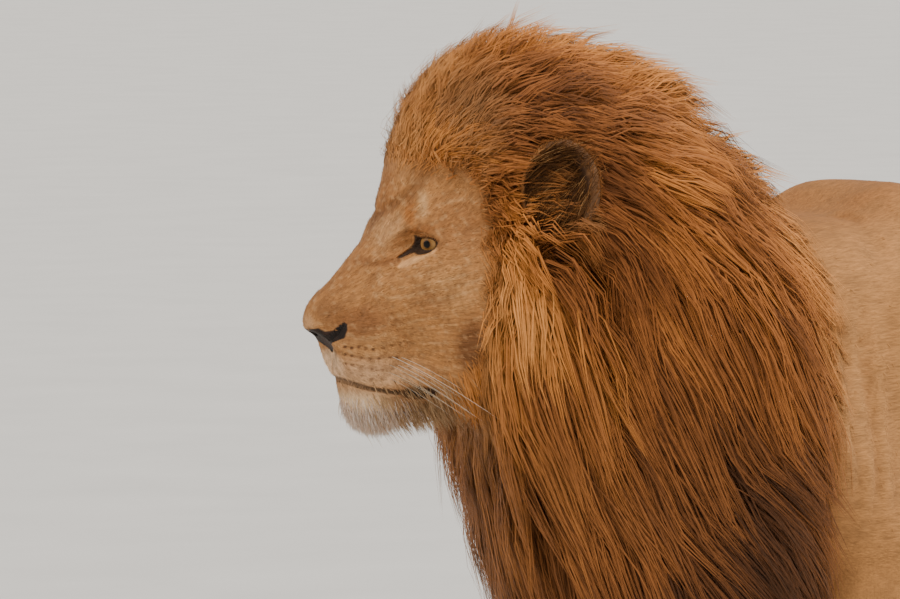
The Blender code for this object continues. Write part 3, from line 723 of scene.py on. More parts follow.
# tint, place in the head's frame, radii, share and softness of the broad tones of the face
FACE_TONES = (
    ((150, 104, 64), (0.03, 0.0, 0.05), (0.05, 0.03, 0.06), 0.7, 0.5),
    ((156, 112, 74), (0.07, 0.0, -0.045), (0.075, 0.03, 0.055), 0.6, 0.5),
    ((122, 88, 62), (0.112, 0.03, -0.08), (0.02, 0.014, 0.012), 0.6, 0.5),
    ((224, 186, 150), (0.128, 0.0, -0.098), (0.012, 0.022, 0.01), 0.7, 0.5),
    ((196, 158, 116), (-0.02, 0.09, -0.055), (0.04, 0.05, 0.026), 0.5, 0.5),
    ((190, 150, 108), (0.055, 0.06, -0.12), (0.06, 0.05, 0.03), 0.6, 0.5),
    ((226, 196, 164), (0.066, 0.05, -0.16), (0.052, 0.05, 0.012), 0.7, 0.5),
    ((246, 222, 200), (0.1, 0.0, -0.148), (0.016, 0.04, 0.019), 0.95, 0.3),
    ((244, 230, 212), (0.056, 0.0, -0.205), (0.058, 0.07, 0.028), 0.95, 0.5),
    ((196, 164, 130), (-0.02, 0.05, -0.2), (0.06, 0.08, 0.034), 0.7, 0.5),
)
# the same for the smaller marks, placed in the quarter view
FACE_MARKS = (
    ((198, 164, 130), (0.046, 0.013), (0.02, 0.022), 0.5, 0.5),
    ((214, 182, 142), (0.003, 0.048), (0.006, 0.016), 0.7, 0.5),
    ((176, 118, 62), (0.0185, 0.036), (0.0065, 0.016), 0.85, 0.35),
    # a band of painted shade in the fold over the upper lid
    ((150, 98, 56), (0.004, 0.016), (0.016, 0.006), 0.6, 0.5),
    # a band of painted shade along the furrow under the eye
    ((128, 88, 60), (0.052, -0.022), (0.034, 0.006), 0.45, 0.5),
    # a patch of painted shadow low on the cheek behind the mouth, where the ruff begins
    ((104, 70, 48), (-0.056, -0.126), (0.02, 0.034), 0.8, 0.5),
    ((124, 84, 54), (0.078, -0.096), (0.036, 0.02), 0.75, 0.5),
    ((150, 108, 74), (-0.04, 0.02), (0.034, 0.034), 0.5, 0.5),
    ((236, 202, 176), (0.062, -0.156), (0.05, 0.016), 0.65, 0.8),
    ((116, 80, 54), (0.012, -0.188), (0.03, 0.016), 0.55, 0.5),
    ((138, 98, 66), (-0.006, -0.07), (0.02, 0.016), 0.45, 0.5),
)
# size, seed, the span of its waves that shows, tint and share of the face's mottling
FACE_MOTTLE = (
    (0.02, 11, (-0.1, 0.8), (122, 90, 64), 0.34),
    (0.009, 12, (0.1, 0.9), (212, 180, 144), 0.32),
    (0.006, 13, (0.2, 0.9), (104, 72, 48), 0.3),
)
LEATHER_HEIGHTS = [-0.1335, -0.13, -0.1223, -0.118, -0.113, -0.094]
LEATHER_HALF_WIDTHS = [0.003, 0.009, 0.026, 0.037, 0.048, 0.052]


def markings(points):
    """The coat's colour at each place on the skin, painted shade and highlights on creases and folds
    included, and how much of the place is leather, lip or lid.
    """
    x, y, z = points[:, 0], np.abs(points[:, 1]), points[:, 2]
    colour = np.tile(shade(182, 140, 96), (len(points), 1))

    def lay(tint, share):
        colour[:] = laid_over(colour, shade(*tint), share)

    lay((146, 102, 64), 0.75 * smoothstep(0.9, 1.03, z) * smoothstep(0.17, 0.05, y))
    lay((206, 176, 136), 0.8 * smoothstep(0.74, 0.64, z) * smoothstep(0.13, 0.06, y))
    lay((196, 158, 114), 0.5 * smoothstep(0.35, 0.1, z))
    lay((160, 120, 78), 0.35 * smoothstep(0.0, 0.9, rough_waves(points, 0.16, 3)))
    lay((134, 104, 74), 0.3 * smoothstep(0.1, 0.9, rough_waves(points, 0.045, 4)))
    lay((96, 62, 36), 0.55 * smoothstep(-0.8, -0.9, x) * smoothstep(0.5, 0.4, z))
    folded = body_folds(points)
    # painted shade in the hollows of the loose skin's folds, and a painted highlight on their crests
    lay((122, 84, 52), 0.4 * smoothstep(0.0, 0.004, folded))
    lay((206, 166, 122), 0.25 * smoothstep(0.0, -0.004, folded))

    q = on_left(head_frame(points))
    hx, hy, hz = q.T
    side_view, seen = np.stack([hx, hz], axis=1), quarter_view(q)
    head = smoothstep(0.3, 0.24, away_from(q, (0.0, 0, -0.06)))
    lay((180, 136, 92), head)
    for tint, place, radii, share, soft in FACE_TONES:
        lay(tint, head * share * smoothstep(1.0 + soft, 1.0 - soft, oval(q, place, radii)))
    for tint, place, radii, share, soft in FACE_MARKS:
        lay(tint, head * share * smoothstep(1.0 + soft, 1.0 - soft, oval(seen, place, radii)) * (hx > -0.12))
    furrow, along = to_line(seen, BROW_FURROW)
    # painted shade along the brow's furrow
    lay((92, 58, 36), 0.55 * head * (bell(furrow, 0.005 + 0.006 * along) * (hy < 0.085) * (hx > -0.1)))
    # painted shade along the cheek's furrows
    for line, share in zip(CHEEK_FURROWS, (0.25, 0.3, 0.25)):
        lay((108, 74, 50), share * head * beside(seen, line, 0.004) * (hy > 0.024) * (hx > -0.08))
    # painted shade along the furrow under the eye
    lay((104, 70, 50), 0.3 * head * beside(seen, EYE_FURROW, 0.0034) * (hx > -0.02))
    for size, seed, span, tint, share in FACE_MOTTLE:
        mottle = smoothstep(*span, rough_waves(points, size, seed))
        lay(tint, share * head * mottle * smoothstep(-0.2, -0.16, hz))

    spot_mask = np.zeros(len(points))
    for row, strength in zip(WHISKER_ROWS, (0.9, 0.8, 0.6, 0.45)):
        spots = np.full(len(points), 1.0)
        for place in row:
            spots = np.minimum(spots, oval(seen, place, (1.5, 1.0)))
        here = np.maximum(0.4 * beside(seen, row, 0.0013), smoothstep(0.0024, 0.001, spots))
        spot_mask = np.maximum(spot_mask, strength * here)
    spot_mask *= head * (hy > 0.02) * (hx > 0.0)
    lay((74, 46, 32), spot_mask)

    u, v, out, away = eye_frame(q)
    strip = in_outline(np.stack([u, v], axis=1), PALE_LID)
    strip = head * smoothstep(0.0016, -0.001, strip) * (out > -0.006) * (away < 0.055)
    lay((226, 184, 140), 0.8 * strip)
    reach = 0.0022 + 0.0016 * smoothstep(0.0, 0.004, v)
    rim = head * smoothstep(reach, 0.4 * reach, lid_opening(u, v)) * (out > 0.001) * (away < 0.03)
    rim = np.maximum(rim, head * smoothstep(0.0008, -0.0006, inner_corner(q, u, v, out)))

    lip, _ = to_line(side_view, LIP_LINE)
    lips = head * smoothstep(0.0044, 0.0018, lip) * np.interp(hx, [0.02, 0.045], [0.95, 0.8])
    lips *= (hx > -0.012) * (hy < 0.09)
    corner = oval(side_view, MOUTH_CORNER, (0.021, 0.0078))
    lips = np.maximum(lips, head * smoothstep(1.2, 0.75, corner) * (hy < 0.09))

    half_width = np.interp(hz, LEATHER_HEIGHTS, LEATHER_HALF_WIDTHS)
    leather = np.maximum(in_outline(side_view, LEATHER), hy - half_width)
    leather = head * smoothstep(0.001, -0.0006, leather)
    groove = head * smoothstep(0.0022, 0.001, hy) * (hz > -0.1625) * (hz < -0.126) * (hx > 0.07)
    lay((110, 72, 56), 0.8 * groove)
    colour *= WARMTH

    lay((36, 23, 17), 0.95 * np.maximum(rim, lips))
    hide = ramp(smoothstep(-0.6, 0.9, rough_waves(points, 0.02, 5)),
                [(0, shade(26, 16, 11)), (1, shade(52, 33, 25))])
    colour[:] = laid_over(colour, hide, leather)
    pink = oval(q, (0.121, 0.0, -0.118), (0.01, 0.01, 0.008))
    lay((110, 66, 52), 0.4 * leather * smoothstep(1.4, 0.6, pink))
    # painted shade inside the nostril's hollow
    lay((10, 7, 6), head * smoothstep(0.0012, -0.0006, nostril_distance(q)))
    pads = smoothstep(0.006, 0.002, z)
    lay((58, 42, 36), pads)
    bald = np.maximum(np.maximum(rim, lips), leather)
    return colour, np.maximum(leather, pads), bald, np.maximum(bald, np.maximum(strip, 0.8 * spot_mask))


# ---------------------------------------------------------------- meshes
def add_mesh(name, points, corners, loops=None, colours=None, values=None, normals=None):
    """A mesh object from triangles. loops holds the unwrap, values holds named numbers for each point."""
    mesh = bpy.data.meshes.new(name)
    mesh.vertices.add(len(points))
    mesh.vertices.foreach_set("co", (points + SHIFT).ravel())
    mesh.loops.add(3 * len(corners))
    mesh.loops.foreach_set("vertex_index", corners.ravel().astype(np.int32))
    mesh.polygons.add(len(corners))
    mesh.polygons.foreach_set("loop_start", np.arange(len(corners), dtype=np.int32) * 3)
    mesh.update(calc_edges=True)
    if loops is not None:
        mesh.uv_layers.new(name="OFBake").data.foreach_set("uv", loops.ravel())
    paint(mesh, colours, values or {})
    mesh.shade_smooth()
    if normals is not None:
        mesh.normals_split_custom_set_from_vertices(normals.tolist())
    piece = bpy.data.objects.new(name, mesh)
    bpy.context.scene.collection.objects.link(piece)
    return piece


def paint(mesh, colours, values):
    if colours is not None:
        layer = mesh.color_attributes.new("tint", "FLOAT_COLOR", "POINT")
        layer.data.foreach_set("color", np.hstack([colours, np.ones((len(colours), 1))]).ravel())
    for name, numbers in values.items():
        mesh.attributes.new(name, "FLOAT", "POINT").data.foreach_set("value", np.asarray(numbers, float))


def sampled(field, low, counts, step):
    """The field on a grid. Only the blocks near the surface are worked out in full."""
    blocks = [-(-count // BLOCK) for count in counts]
    samples = np.empty([BLOCK * count for count in blocks], np.float32)
    corner = np.stack(np.meshgrid(*[np.arange(BLOCK)] * 3, indexing="ij"), axis=-1).reshape(-1, 3)
    for i in range(blocks[0]):
        j, k = (axis.ravel() for axis in np.meshgrid(*[np.arange(n) for n in blocks[1:]], indexing="ij"))
        first = np.stack([np.full(len(j), i), j, k], axis=1) * BLOCK
        rough = field(low + (first + (BLOCK - 1) / 2) * step)
        slab = np.repeat(rough[:, None], BLOCK**3, axis=1)
        near = np.abs(rough) < BLOCK * step * NEAR_BLOCKS
        inside = (first[near][:, None, :] + corner).reshape(-1, 3)
        slab[near] = field(low + inside * step).reshape(-1, BLOCK**3)
        slab = slab.reshape(blocks[1], blocks[2], BLOCK, BLOCK, BLOCK).transpose(2, 0, 3, 1, 4)
        samples[i * BLOCK:(i + 1) * BLOCK] = slab.reshape(BLOCK, blocks[1] * BLOCK, blocks[2] * BLOCK)
    return samples


def points_of(mesh):
    points = np.empty(len(mesh.vertices) * 3)
    mesh.vertices.foreach_get("co", points)
    return points.reshape(-1, 3)


def triangles_of(mesh):
    corners = np.empty(len(mesh.polygons) * 3, np.int32)
    mesh.loops.foreach_get("vertex_index", corners)
    return corners.reshape(-1, 3)


def refined(piece, wanted):
    """The mesh with every edge split where wanted says so of both its ends."""
    flags = wanted(points_of(piece.data) - SHIFT)
    shaped = bmesh.new()
    shaped.from_mesh(piece.data)
    edges = [e for e in shaped.edges if flags[e.verts[0].index] and flags[e.verts[1].index]]
    bmesh.ops.subdivide_edges(shaped, edges=edges, cuts=1, use_grid_fill=True)
    bmesh.ops.triangulate(shaped, faces=[f for f in shaped.faces if len(f.verts) > 3])
    shaped.to_mesh(piece.data)
    shaped.free()


def eye_distance(points):
    q = head_frame(points)
    return away_from(on_left(q), EYE_PLACE)


def on_face(points):
    q = head_frame(points)
    return (q[:, 0] > -0.055) & (np.abs(q[:, 1]) < 0.12) & (q[:, 2] < 0.075) & (q[:, 2] > -0.235)


def on_features(points):
    q = head_frame(points)
    nose = (q[:, 0] > 0.082) & (q[:, 2] > -0.17) & (q[:, 2] < -0.085)
    lip, _ = to_line(q[:, [0, 2]], LIP_LINE)
    lips = (lip < 0.008) & (q[:, 0] > -0.02)
    u, v, out, _ = eye_frame(on_left(q))
    corner = inner_corner(q, u, v, out) < 0.006
    return on_face(points) & (nose | lips | (eye_distance(points) < 0.033) | corner)


def on_folds(points):
    x, y, z = points.T
    return (x > 0.15) & (x < 0.5) & (z > 0.64) & (z < 1.1) & (np.abs(y) > 0.03)


def made_skin():
    low, high = np.array((-1.06, -0.36, -0.016)), np.array((1.16, 0.36, 1.36))
    samples = sampled(skin_field, low, np.ceil((high - low) / SKIN_STEP).astype(int), SKIN_STEP)
    grid = openvdb.FloatGrid()
    grid.copyFromArray(samples)
    points, triangles, quads = grid.convertToPolygons(isovalue=0.0)
    points = points * SKIN_STEP + low
    corners = np.vstack([triangles.reshape(-1, 3), quads[:, [0, 1, 2]], quads[:, [0, 2, 3]]]).astype(int)
    a, b, c = (points[corners[:, i]] for i in range(3))
    if np.einsum("ij,ij->i", a, np.cross(b, c)).sum() < 0:
        corners = corners[:, ::-1]
    piece = add_mesh("skin", points, corners)
    q = head_frame(points)
    ears = away_from(on_left(q), EAR_MIDDLE)
    keep = on_face(points) | (ears < 0.08)
    paws = (points[:, 2] < 0.1) & ~keep
    group = piece.vertex_groups.new(name="free")
    body = np.flatnonzero(~keep & ~paws)
    group.add(body.tolist(), 1.0, "REPLACE")
    group.add(np.flatnonzero(paws).tolist(), 0.15, "REPLACE")
    thin = piece.modifiers.new("thin", "DECIMATE")
    thin.ratio = (BODY_TRIANGLES + 2.0 * keep.sum()) / len(corners)
    thin.vertex_group = "free"
    mesh = bpy.data.meshes.new_from_object(piece.evaluated_get(bpy.context.evaluated_depsgraph_get()))
    piece.modifiers.clear()
    piece.data = mesh
    piece.vertex_groups.clear()
    unwrapped(piece)
    refined(piece, on_folds)
    refined(piece, on_face)
    refined(piece, on_features)
    points = points_of(piece.data) - SHIFT
    for _ in range(FITTING_STEPS):
        value, slope = gradient(detailed_field, points)
        step = value / np.maximum(np.einsum("ij,ij->i", slope, slope), 0.25)
        points -= np.clip(step, -0.004, 0.004)[:, None] * slope
    points[:, 2] = np.maximum(points[:, 2], 0.0)
    piece.data.vertices.foreach_set("co", (points + SHIFT).ravel())
    colours, leather, bare, _ = markings(points)
    q = head_frame(points)
    under = smoothstep(-0.006, -0.03, mane_envelope(points)) * smoothstep(-0.002, 0.012, beyond_face(q))
    core = ramp(mane_lie(points)[1][:, 1] - 0.26, MANE_TONES)
    colours = laid_over(colours, core, 0.92 * under)
    sides = on_left(q)
    for outer, cup, _ in EARS:
        inner = smoothstep(0.004, 0.001, cup.distance(points)) * smoothstep(0.02, 0.0, outer.distance(points))
        # painted shade inside the ear's cup
        colours = laid_over(colours, shade(52, 32, 20), 0.95 * inner)
        back = smoothstep(0.006, 0.002, np.abs(outer.distance(points))) * (1 - inner) * (sides[:, 2] > 0.03)
        colours = laid_over(colours, shade(64, 46, 36), 0.75 * back * (sides[:, 0] < -0.13))
    legs = smoothstep(0.66, 0.52, points[:, 2])
    face = smoothstep(0.27, 0.21, away_from(sides, FACE_MIDDLE))
    paint(piece.data, colours, {"leather": leather, "bare": bare, "legs": legs, "face": face})
    piece.data.shade_smooth()
    return piece


def unwrapped(piece):
    bpy.context.view_layer.objects.active = piece
    piece.select_set(True)
    piece.data.uv_layers.new(name="OFBake")
    bpy.ops.object.mode_set(mode="EDIT")
    bpy.ops.mesh.select_all(action="SELECT")
    bpy.ops.uv.smart_project(angle_limit=math.radians(66), island_margin=0.001)
    bpy.ops.object.mode_set(mode="OBJECT")
    piece.select_set(False)


# ---------------------------------------------------------------- the lie of the coat
# place on the left side, direction, length of lock, tone from dark to golden
HEAD_LIE = [
    ((0.03, 0.0, 0.11), (-0.25, 0.0, 1.0), 0.09, 0.92), ((0.0, 0.07, 0.115), (-0.5, 0.1, 0.9), 0.09, 0.8),
    ((0.036, 0.0, 0.05), (-0.3, 0.0, 1.0), 0.022, 0.8), ((0.0, 0.065, 0.06), (-0.6, 0.1, 0.8), 0.028, 0.75),
    ((-0.04, 0.0, 0.19), (-0.4, 0.0, 0.95), 0.1, 0.95), ((-0.14, 0.0, 0.255), (-0.7, 0.0, 0.7), 0.11, 0.9),
    ((-0.06, 0.08, 0.17), (-0.75, 0.1, 0.6), 0.1, 0.24), ((-0.12, 0.1, 0.2), (-0.9, 0.1, 0.25), 0.11, 0.3),
    ((-0.27, 0.0, 0.21), (-0.85, 0.0, 0.38), 0.12, 0.9),
    ((-0.03, 0.1, 0.07), (-0.85, 0.15, 0.35), 0.06, 0.65),
    ((-0.075, 0.115, 0.09), (-0.95, 0.15, 0.1), 0.075, 0.55),
    ((-0.08, 0.125, 0.03), (-0.75, 0.25, -0.55), 0.085, 0.62),
    ((-0.13, 0.13, 0.14), (-0.95, 0.15, -0.2), 0.09, 0.22),
    ((-0.05, 0.115, -0.02), (-0.25, 0.1, -1.0), 0.12, 0.8),
    ((-0.09, 0.15, -0.12), (-0.15, 0.0, -1.0), 0.2, 0.9),
    ((-0.1, 0.15, -0.25), (-0.4, 0.0, -0.9), 0.22, 0.58),
    ((-0.22, 0.16, 0.1), (-0.75, 0.1, -0.45), 0.16, 0.35),
    ((-0.2, 0.18, -0.05), (-0.3, 0.1, -1.0), 0.22, 0.35),
    ((-0.32, 0.15, 0.12), (-0.85, 0.1, -0.3), 0.17, 0.66),
    ((-0.05, 0.05, -0.22), (-0.2, 0.0, -1.0), 0.15, 0.7),
    ((-0.12, 0.0, -0.33), (-0.3, 0.0, -1.0), 0.2, 0.6),
]
NECK_LIE = [
    ((0.55, 0.0, 1.16), (-0.95, 0.0, 0.2), 0.15, 0.98), ((0.6, 0.2, 1.08), (-0.6, 0.1, -0.8), 0.2, 0.48),
    ((0.62, 0.25, 0.92), (-0.3, 0.0, -1.0), 0.24, 0.36), ((0.48, 0.2, 1.03), (-0.7, 0.1, -0.7), 0.12, 1.00),
    ((0.45, 0.24, 0.88), (-0.5, 0.0, -0.9), 0.11, 1.05), ((0.44, 0.22, 0.7), (-0.35, 0.0, -1.0), 0.11, 0.95),
    ((0.72, 0.17, 0.78), (-0.5, 0.1, -0.85), 0.24, 0.45), ((0.62, 0.22, 0.7), (-0.8, 0.1, -0.6), 0.25, 0.14),
    ((0.55, 0.2, 0.6), (-0.6, 0.0, -0.8), 0.22, 0.06), ((0.8, 0.0, 0.7), (-0.25, 0.0, -1.0), 0.2, 0.36),
    ((0.65, 0.0, 0.5), (-0.45, 0.0, -0.9), 0.16, 0.2), ((0.42, 0.0, 1.1), (-0.95, 0.0, -0.1), 0.09, 0.6),
]


def mirrored_anchors():
    places, lies, sizes = [], [], []
    for (x, y, z), lie, length, tone in HEAD_LIE:
        for side in (1.0, -1.0) if y else (1.0,):
            places.append(from_head(np.array([[x, side * y, z]]))[0])
            lies.append(head_way(lie[0], side * lie[1], lie[2]))
            sizes.append((length, tone))
    for (x, y, z), lie, length, tone in NECK_LIE:
        for side in (1.0, -1.0) if y else (1.0,):
            places.append(np.array([x, side * y, z]))
            lies.append(np.array([lie[0], side * lie[1], lie[2]]))
            sizes.append((length, tone))
    lies = np.array(lies)
    return np.array(places), lies / np.linalg.norm(lies, axis=1)[:, None], np.array(sizes)


ANCHORS, LIES, LIE_SIZES = mirrored_anchors()


def mane_lie(points):
    """The mane's direction, and its length and tone, at each point."""
    away = ((points[:, None, :] - ANCHORS) ** 2).sum(axis=2)
    weight = 1.0 / (away + 0.0008) ** 2
    weight /= weight.sum(axis=1)[:, None]
    return weight @ LIES, weight @ LIE_SIZES


def unit(vectors):
    return vectors / np.maximum(np.linalg.norm(vectors, axis=1), 1e-9)[:, None]


def along_skin(ways, normals):
    return unit(ways - np.einsum("ij,ij->i", ways, normals)[:, None] * normals)


def coat_lie(points, normals):
    """The short coat's direction along the skin."""
    x, _, z = points.T
    lie = np.tile(np.array([-1.0, 0.0, -0.18]), (len(points), 1))
    shoulder = bell(x - 0.42, 0.16) * smoothstep(1.08, 0.95, z)
    haunch = bell(x + 0.56, 0.16) * smoothstep(1.02, 0.9, z)
    legs, paws = smoothstep(0.68, 0.5, z), smoothstep(0.13, 0.07, z)
    for way, share in (((-0.45, 0, -0.9), shoulder), ((-0.6, 0, -0.8), haunch), ((-0.18, 0, -1.0), legs),
                       ((0.85, 0, -0.5), paws)):
        lie = laid_over(lie, np.array(way), share)
    tail = smoothstep(-0.74, -0.8, x)
    line = np.array([list(place) for place, _ in tail_line()])
    nearest = np.argmin(((points[:, None, :] - line[:-1]) ** 2).sum(axis=2), axis=1)
    lie += tail[:, None] * (unit(np.diff(line, axis=0))[nearest] - lie)
    q = head_frame(points)
    face = smoothstep(0.3, 0.22, away_from(q, FACE_MIDDLE))
    radial = q - np.array(NOSE_TIP)
    below = smoothstep(-0.165, -0.19, q[:, 2])
    radial = unit(radial) + below[:, None] * np.array([-0.2, 0, -1.2])
    around = smoothstep(0.05, 0.03, eye_distance(points))
    away = on_left(q) - np.array([0.012, 0.058, -0.004])
    away[:, 1] *= np.where(q[:, 1] < 0, -1.0, 1.0)
    radial += 0.9 * around[:, None] * unit(away)
    lie += face[:, None] * (radial @ HEAD_AXES.T - lie)
    return along_skin(lie, normals)


class Surface:
    """Places picked at random on the skin's triangles, with their unwrap."""

    def __init__(self, piece):
        mesh = piece.data
        self.points = points_of(mesh) - SHIFT
        self.corners = triangles_of(mesh)
        loops = np.empty(len(mesh.loops) * 2)
        mesh.uv_layers["OFBake"].data.foreach_get("uv", loops)
        self.loops = loops.reshape(-1, 3, 2)
        a, b, c = (self.points[self.corners[:, i]] for i in range(3))
        across = np.cross(b - a, c - a)
        self.areas = np.linalg.norm(across, axis=1) / 2
        self.middles = (a + b + c) / 3
        self.normals = unit(across)

    def scattered(self, number, density):
        """density weighs each triangle's area. The places come as points, normals and unwrap."""
        weight = self.areas * density
        chosen = chance.choice(len(weight), number, p=weight / weight.sum())
        first, second = chance.random((2, number))
        flip = first + second > 1
        first[flip], second[flip] = 1 - first[flip], 1 - second[flip]
        shares = np.stack([1 - first - second, first, second], axis=1)
        points = np.einsum("ij,ijk->ik", shares, self.points[self.corners[chosen]])
        spots = np.einsum("ij,ijk->ik", shares, self.loops[chosen])
        return points, self.normals[chosen], spots


def spikes(paths, sideways, width, thick, taper):
    """Closed three-sided hairs. paths is hairs x stations x 3, and each hair ends in a point."""
    hairs, stations, _ = paths.shape
    rings = stations - 1
    run = np.gradient(paths, axis=1)
    run /= np.maximum(np.linalg.norm(run, axis=2), 1e-9)[:, :, None]
    sideways = np.repeat(sideways[:, None, :], stations, 1)
    broad = sideways - np.einsum("ijk,ijk->ij", sideways, run)[:, :, None] * run
    broad /= np.maximum(np.linalg.norm(broad, axis=2), 1e-9)[:, :, None]
    lift = np.cross(run, broad)
    profile = taper[None, :rings, None] * width[:, None, None] / 2
    depth = taper[None, :rings, None] * thick[:, None, None] / 2
    ring = np.stack([
        paths[:, :rings] - broad[:, :rings] * profile - lift[:, :rings] * depth * 0.5,
        paths[:, :rings] + broad[:, :rings] * profile - lift[:, :rings] * depth * 0.5,
        paths[:, :rings] + lift[:, :rings] * depth,
    ], axis=2)
    points = np.concatenate([ring.reshape(hairs, rings * 3, 3), paths[:, -1:]], axis=1)
    corners = [(0, 2, 1)]
    for r in range(rings - 1):
        for a, b in ((0, 1), (1, 2), (2, 0)):
            low_a, low_b, high_a, high_b = 3 * r + a, 3 * r + b, 3 * r + 3 + a, 3 * r + 3 + b
            corners += [(low_a, low_b, high_b), (low_a, high_b, high_a)]
    last = 3 * (rings - 1)
    corners += [(last, last + 1, 3 * rings), (last + 1, last + 2, 3 * rings), (last + 2, last, 3 * rings)]
    corners = np.array(corners)
    every = 3 * rings + 1
    faces = (np.arange(hairs)[:, None, None] * every + corners).reshape(-1, 3)
    along = np.append(np.repeat(np.linspace(0, 1, stations)[:rings], 3), 1.0)
    around = np.append(np.tile([-0.5, 0.5, 0.0], rings), 0.0)
    return points.reshape(-1, 3), faces, np.stack([around, along - 0.5], axis=1), corners, broad


def add_hair(name, paths, sideways, width, thick, taper, spots, colours, tip_colours, outer=None):
    """One piece of hairs. Each lies on a small patch of the unwrap at its root's place. Where outer gives the
    way out of the coat, hairs x stations x 3, they are shaded as parts of it, and only gently rounded."""
    points, faces, patch, corners, broad = spikes(paths, sideways, width, thick, taper)
    points[:, 2] = np.maximum(points[:, 2], 0.0004)
    hairs, every = len(paths), len(patch)
    normals = None
    if outer is not None:
        rings = np.repeat(outer[:, :-1], 3, axis=1)
        leaning_out = np.tile([-0.38, 0.38, 0.0], paths.shape[1] - 1)[None, :, None]
        rounded = leaning_out * np.repeat(broad[:, :-1], 3, axis=1)
        normals = unit(np.concatenate([rings + rounded, outer[:, -1:]], axis=1).reshape(-1, 3))
    loops = (np.clip(spots, PATCH, 1 - PATCH)[:, None, :] + PATCH * patch[None])[:, corners.reshape(-1)]
    share = np.clip(patch[:, 1] + 0.5, 0, 1)[None, :, None]
    painted = colours[:, None, :] * (1 - share) + tip_colours[:, None, :] * share
    values = {"along": np.tile(patch[:, 1] + 0.5, hairs), "across": np.tile(patch[:, 0], hairs),
              "number": np.repeat(chance.random(hairs), every)}
    return add_mesh(name, points, faces, loops.reshape(-1, 2), painted.reshape(-1, 3), values, normals)


# ---------------------------------------------------------------- the mane
def lock_paths(roots, normals, lengths, layer, steps=22):
    """The middle line of each lock: out of the core, then laid along the mane below its outer surface."""
    paths = np.empty((len(roots), steps + 1, 3))
    paths[:, 0] = roots
    here = roots.copy()
    depth, outward_now = outward(lock_envelope, here, 1e-3)
    start_depth = depth.copy()
    wander = chance.normal(0, 0.055, (len(roots), 3))
    edge = np.clip(-depth / CORE_DEPTH, 0.0, 1.0)[:, None]
    heading = unit(normals * (0.25 + 0.75 * edge) + unit(mane_lie(roots)[0]) * (1.2 - edge))
    pace = (lengths / steps)[:, None]
    stray = 0.03 * smoothstep(0.8, 1.0, chance.random(len(roots)))
    for step in range(steps):
        share = (step + 1) / steps
        lie, _ = mane_lie(here)
        sway = np.stack([rough_waves(here, 0.085, seed) for seed in (21, 22, 23)], axis=1)
        lie = unit(lie) + wander + 0.15 * sway
        rising = np.clip(np.einsum("ij,ij->i", unit(lie), outward_now), 0, 1)
        flat = lie - np.einsum("ij,ij->i", lie, outward_now)[:, None] * outward_now
        wanted = start_depth + (layer - start_depth) * smoothstep(0.0, 0.42, np.full(len(here), share))
        wanted += (0.42 * rising * lengths + stray) * max(share - 0.35, 0.0)
        climb = np.clip((wanted - depth) / pace[:, 0], -0.35, 0.92)
        aim = unit(flat) * np.sqrt(1 - climb**2)[:, None] + outward_now * climb[:, None]
        heading = unit(heading * 0.45 + aim * 0.55)
        here = here + heading * pace
        paths[:, step + 1] = here
        depth, outward_now = outward(lock_envelope, here, 1e-3)
    return paths


def at_shares(paths, shares):
    steps = paths.shape[1] - 1
    place = np.asarray(shares) * steps
    low = np.minimum(place.astype(int), steps - 1)
    part = (place - low)[None, :, None]
    return paths[:, low] * (1 - part) + paths[:, low + 1] * part


def ear_distance(points):
    """The distance from the outer surface of the nearer ear."""
    return np.abs(np.min([outer.distance(points) for outer, _, _ in EARS], axis=0))


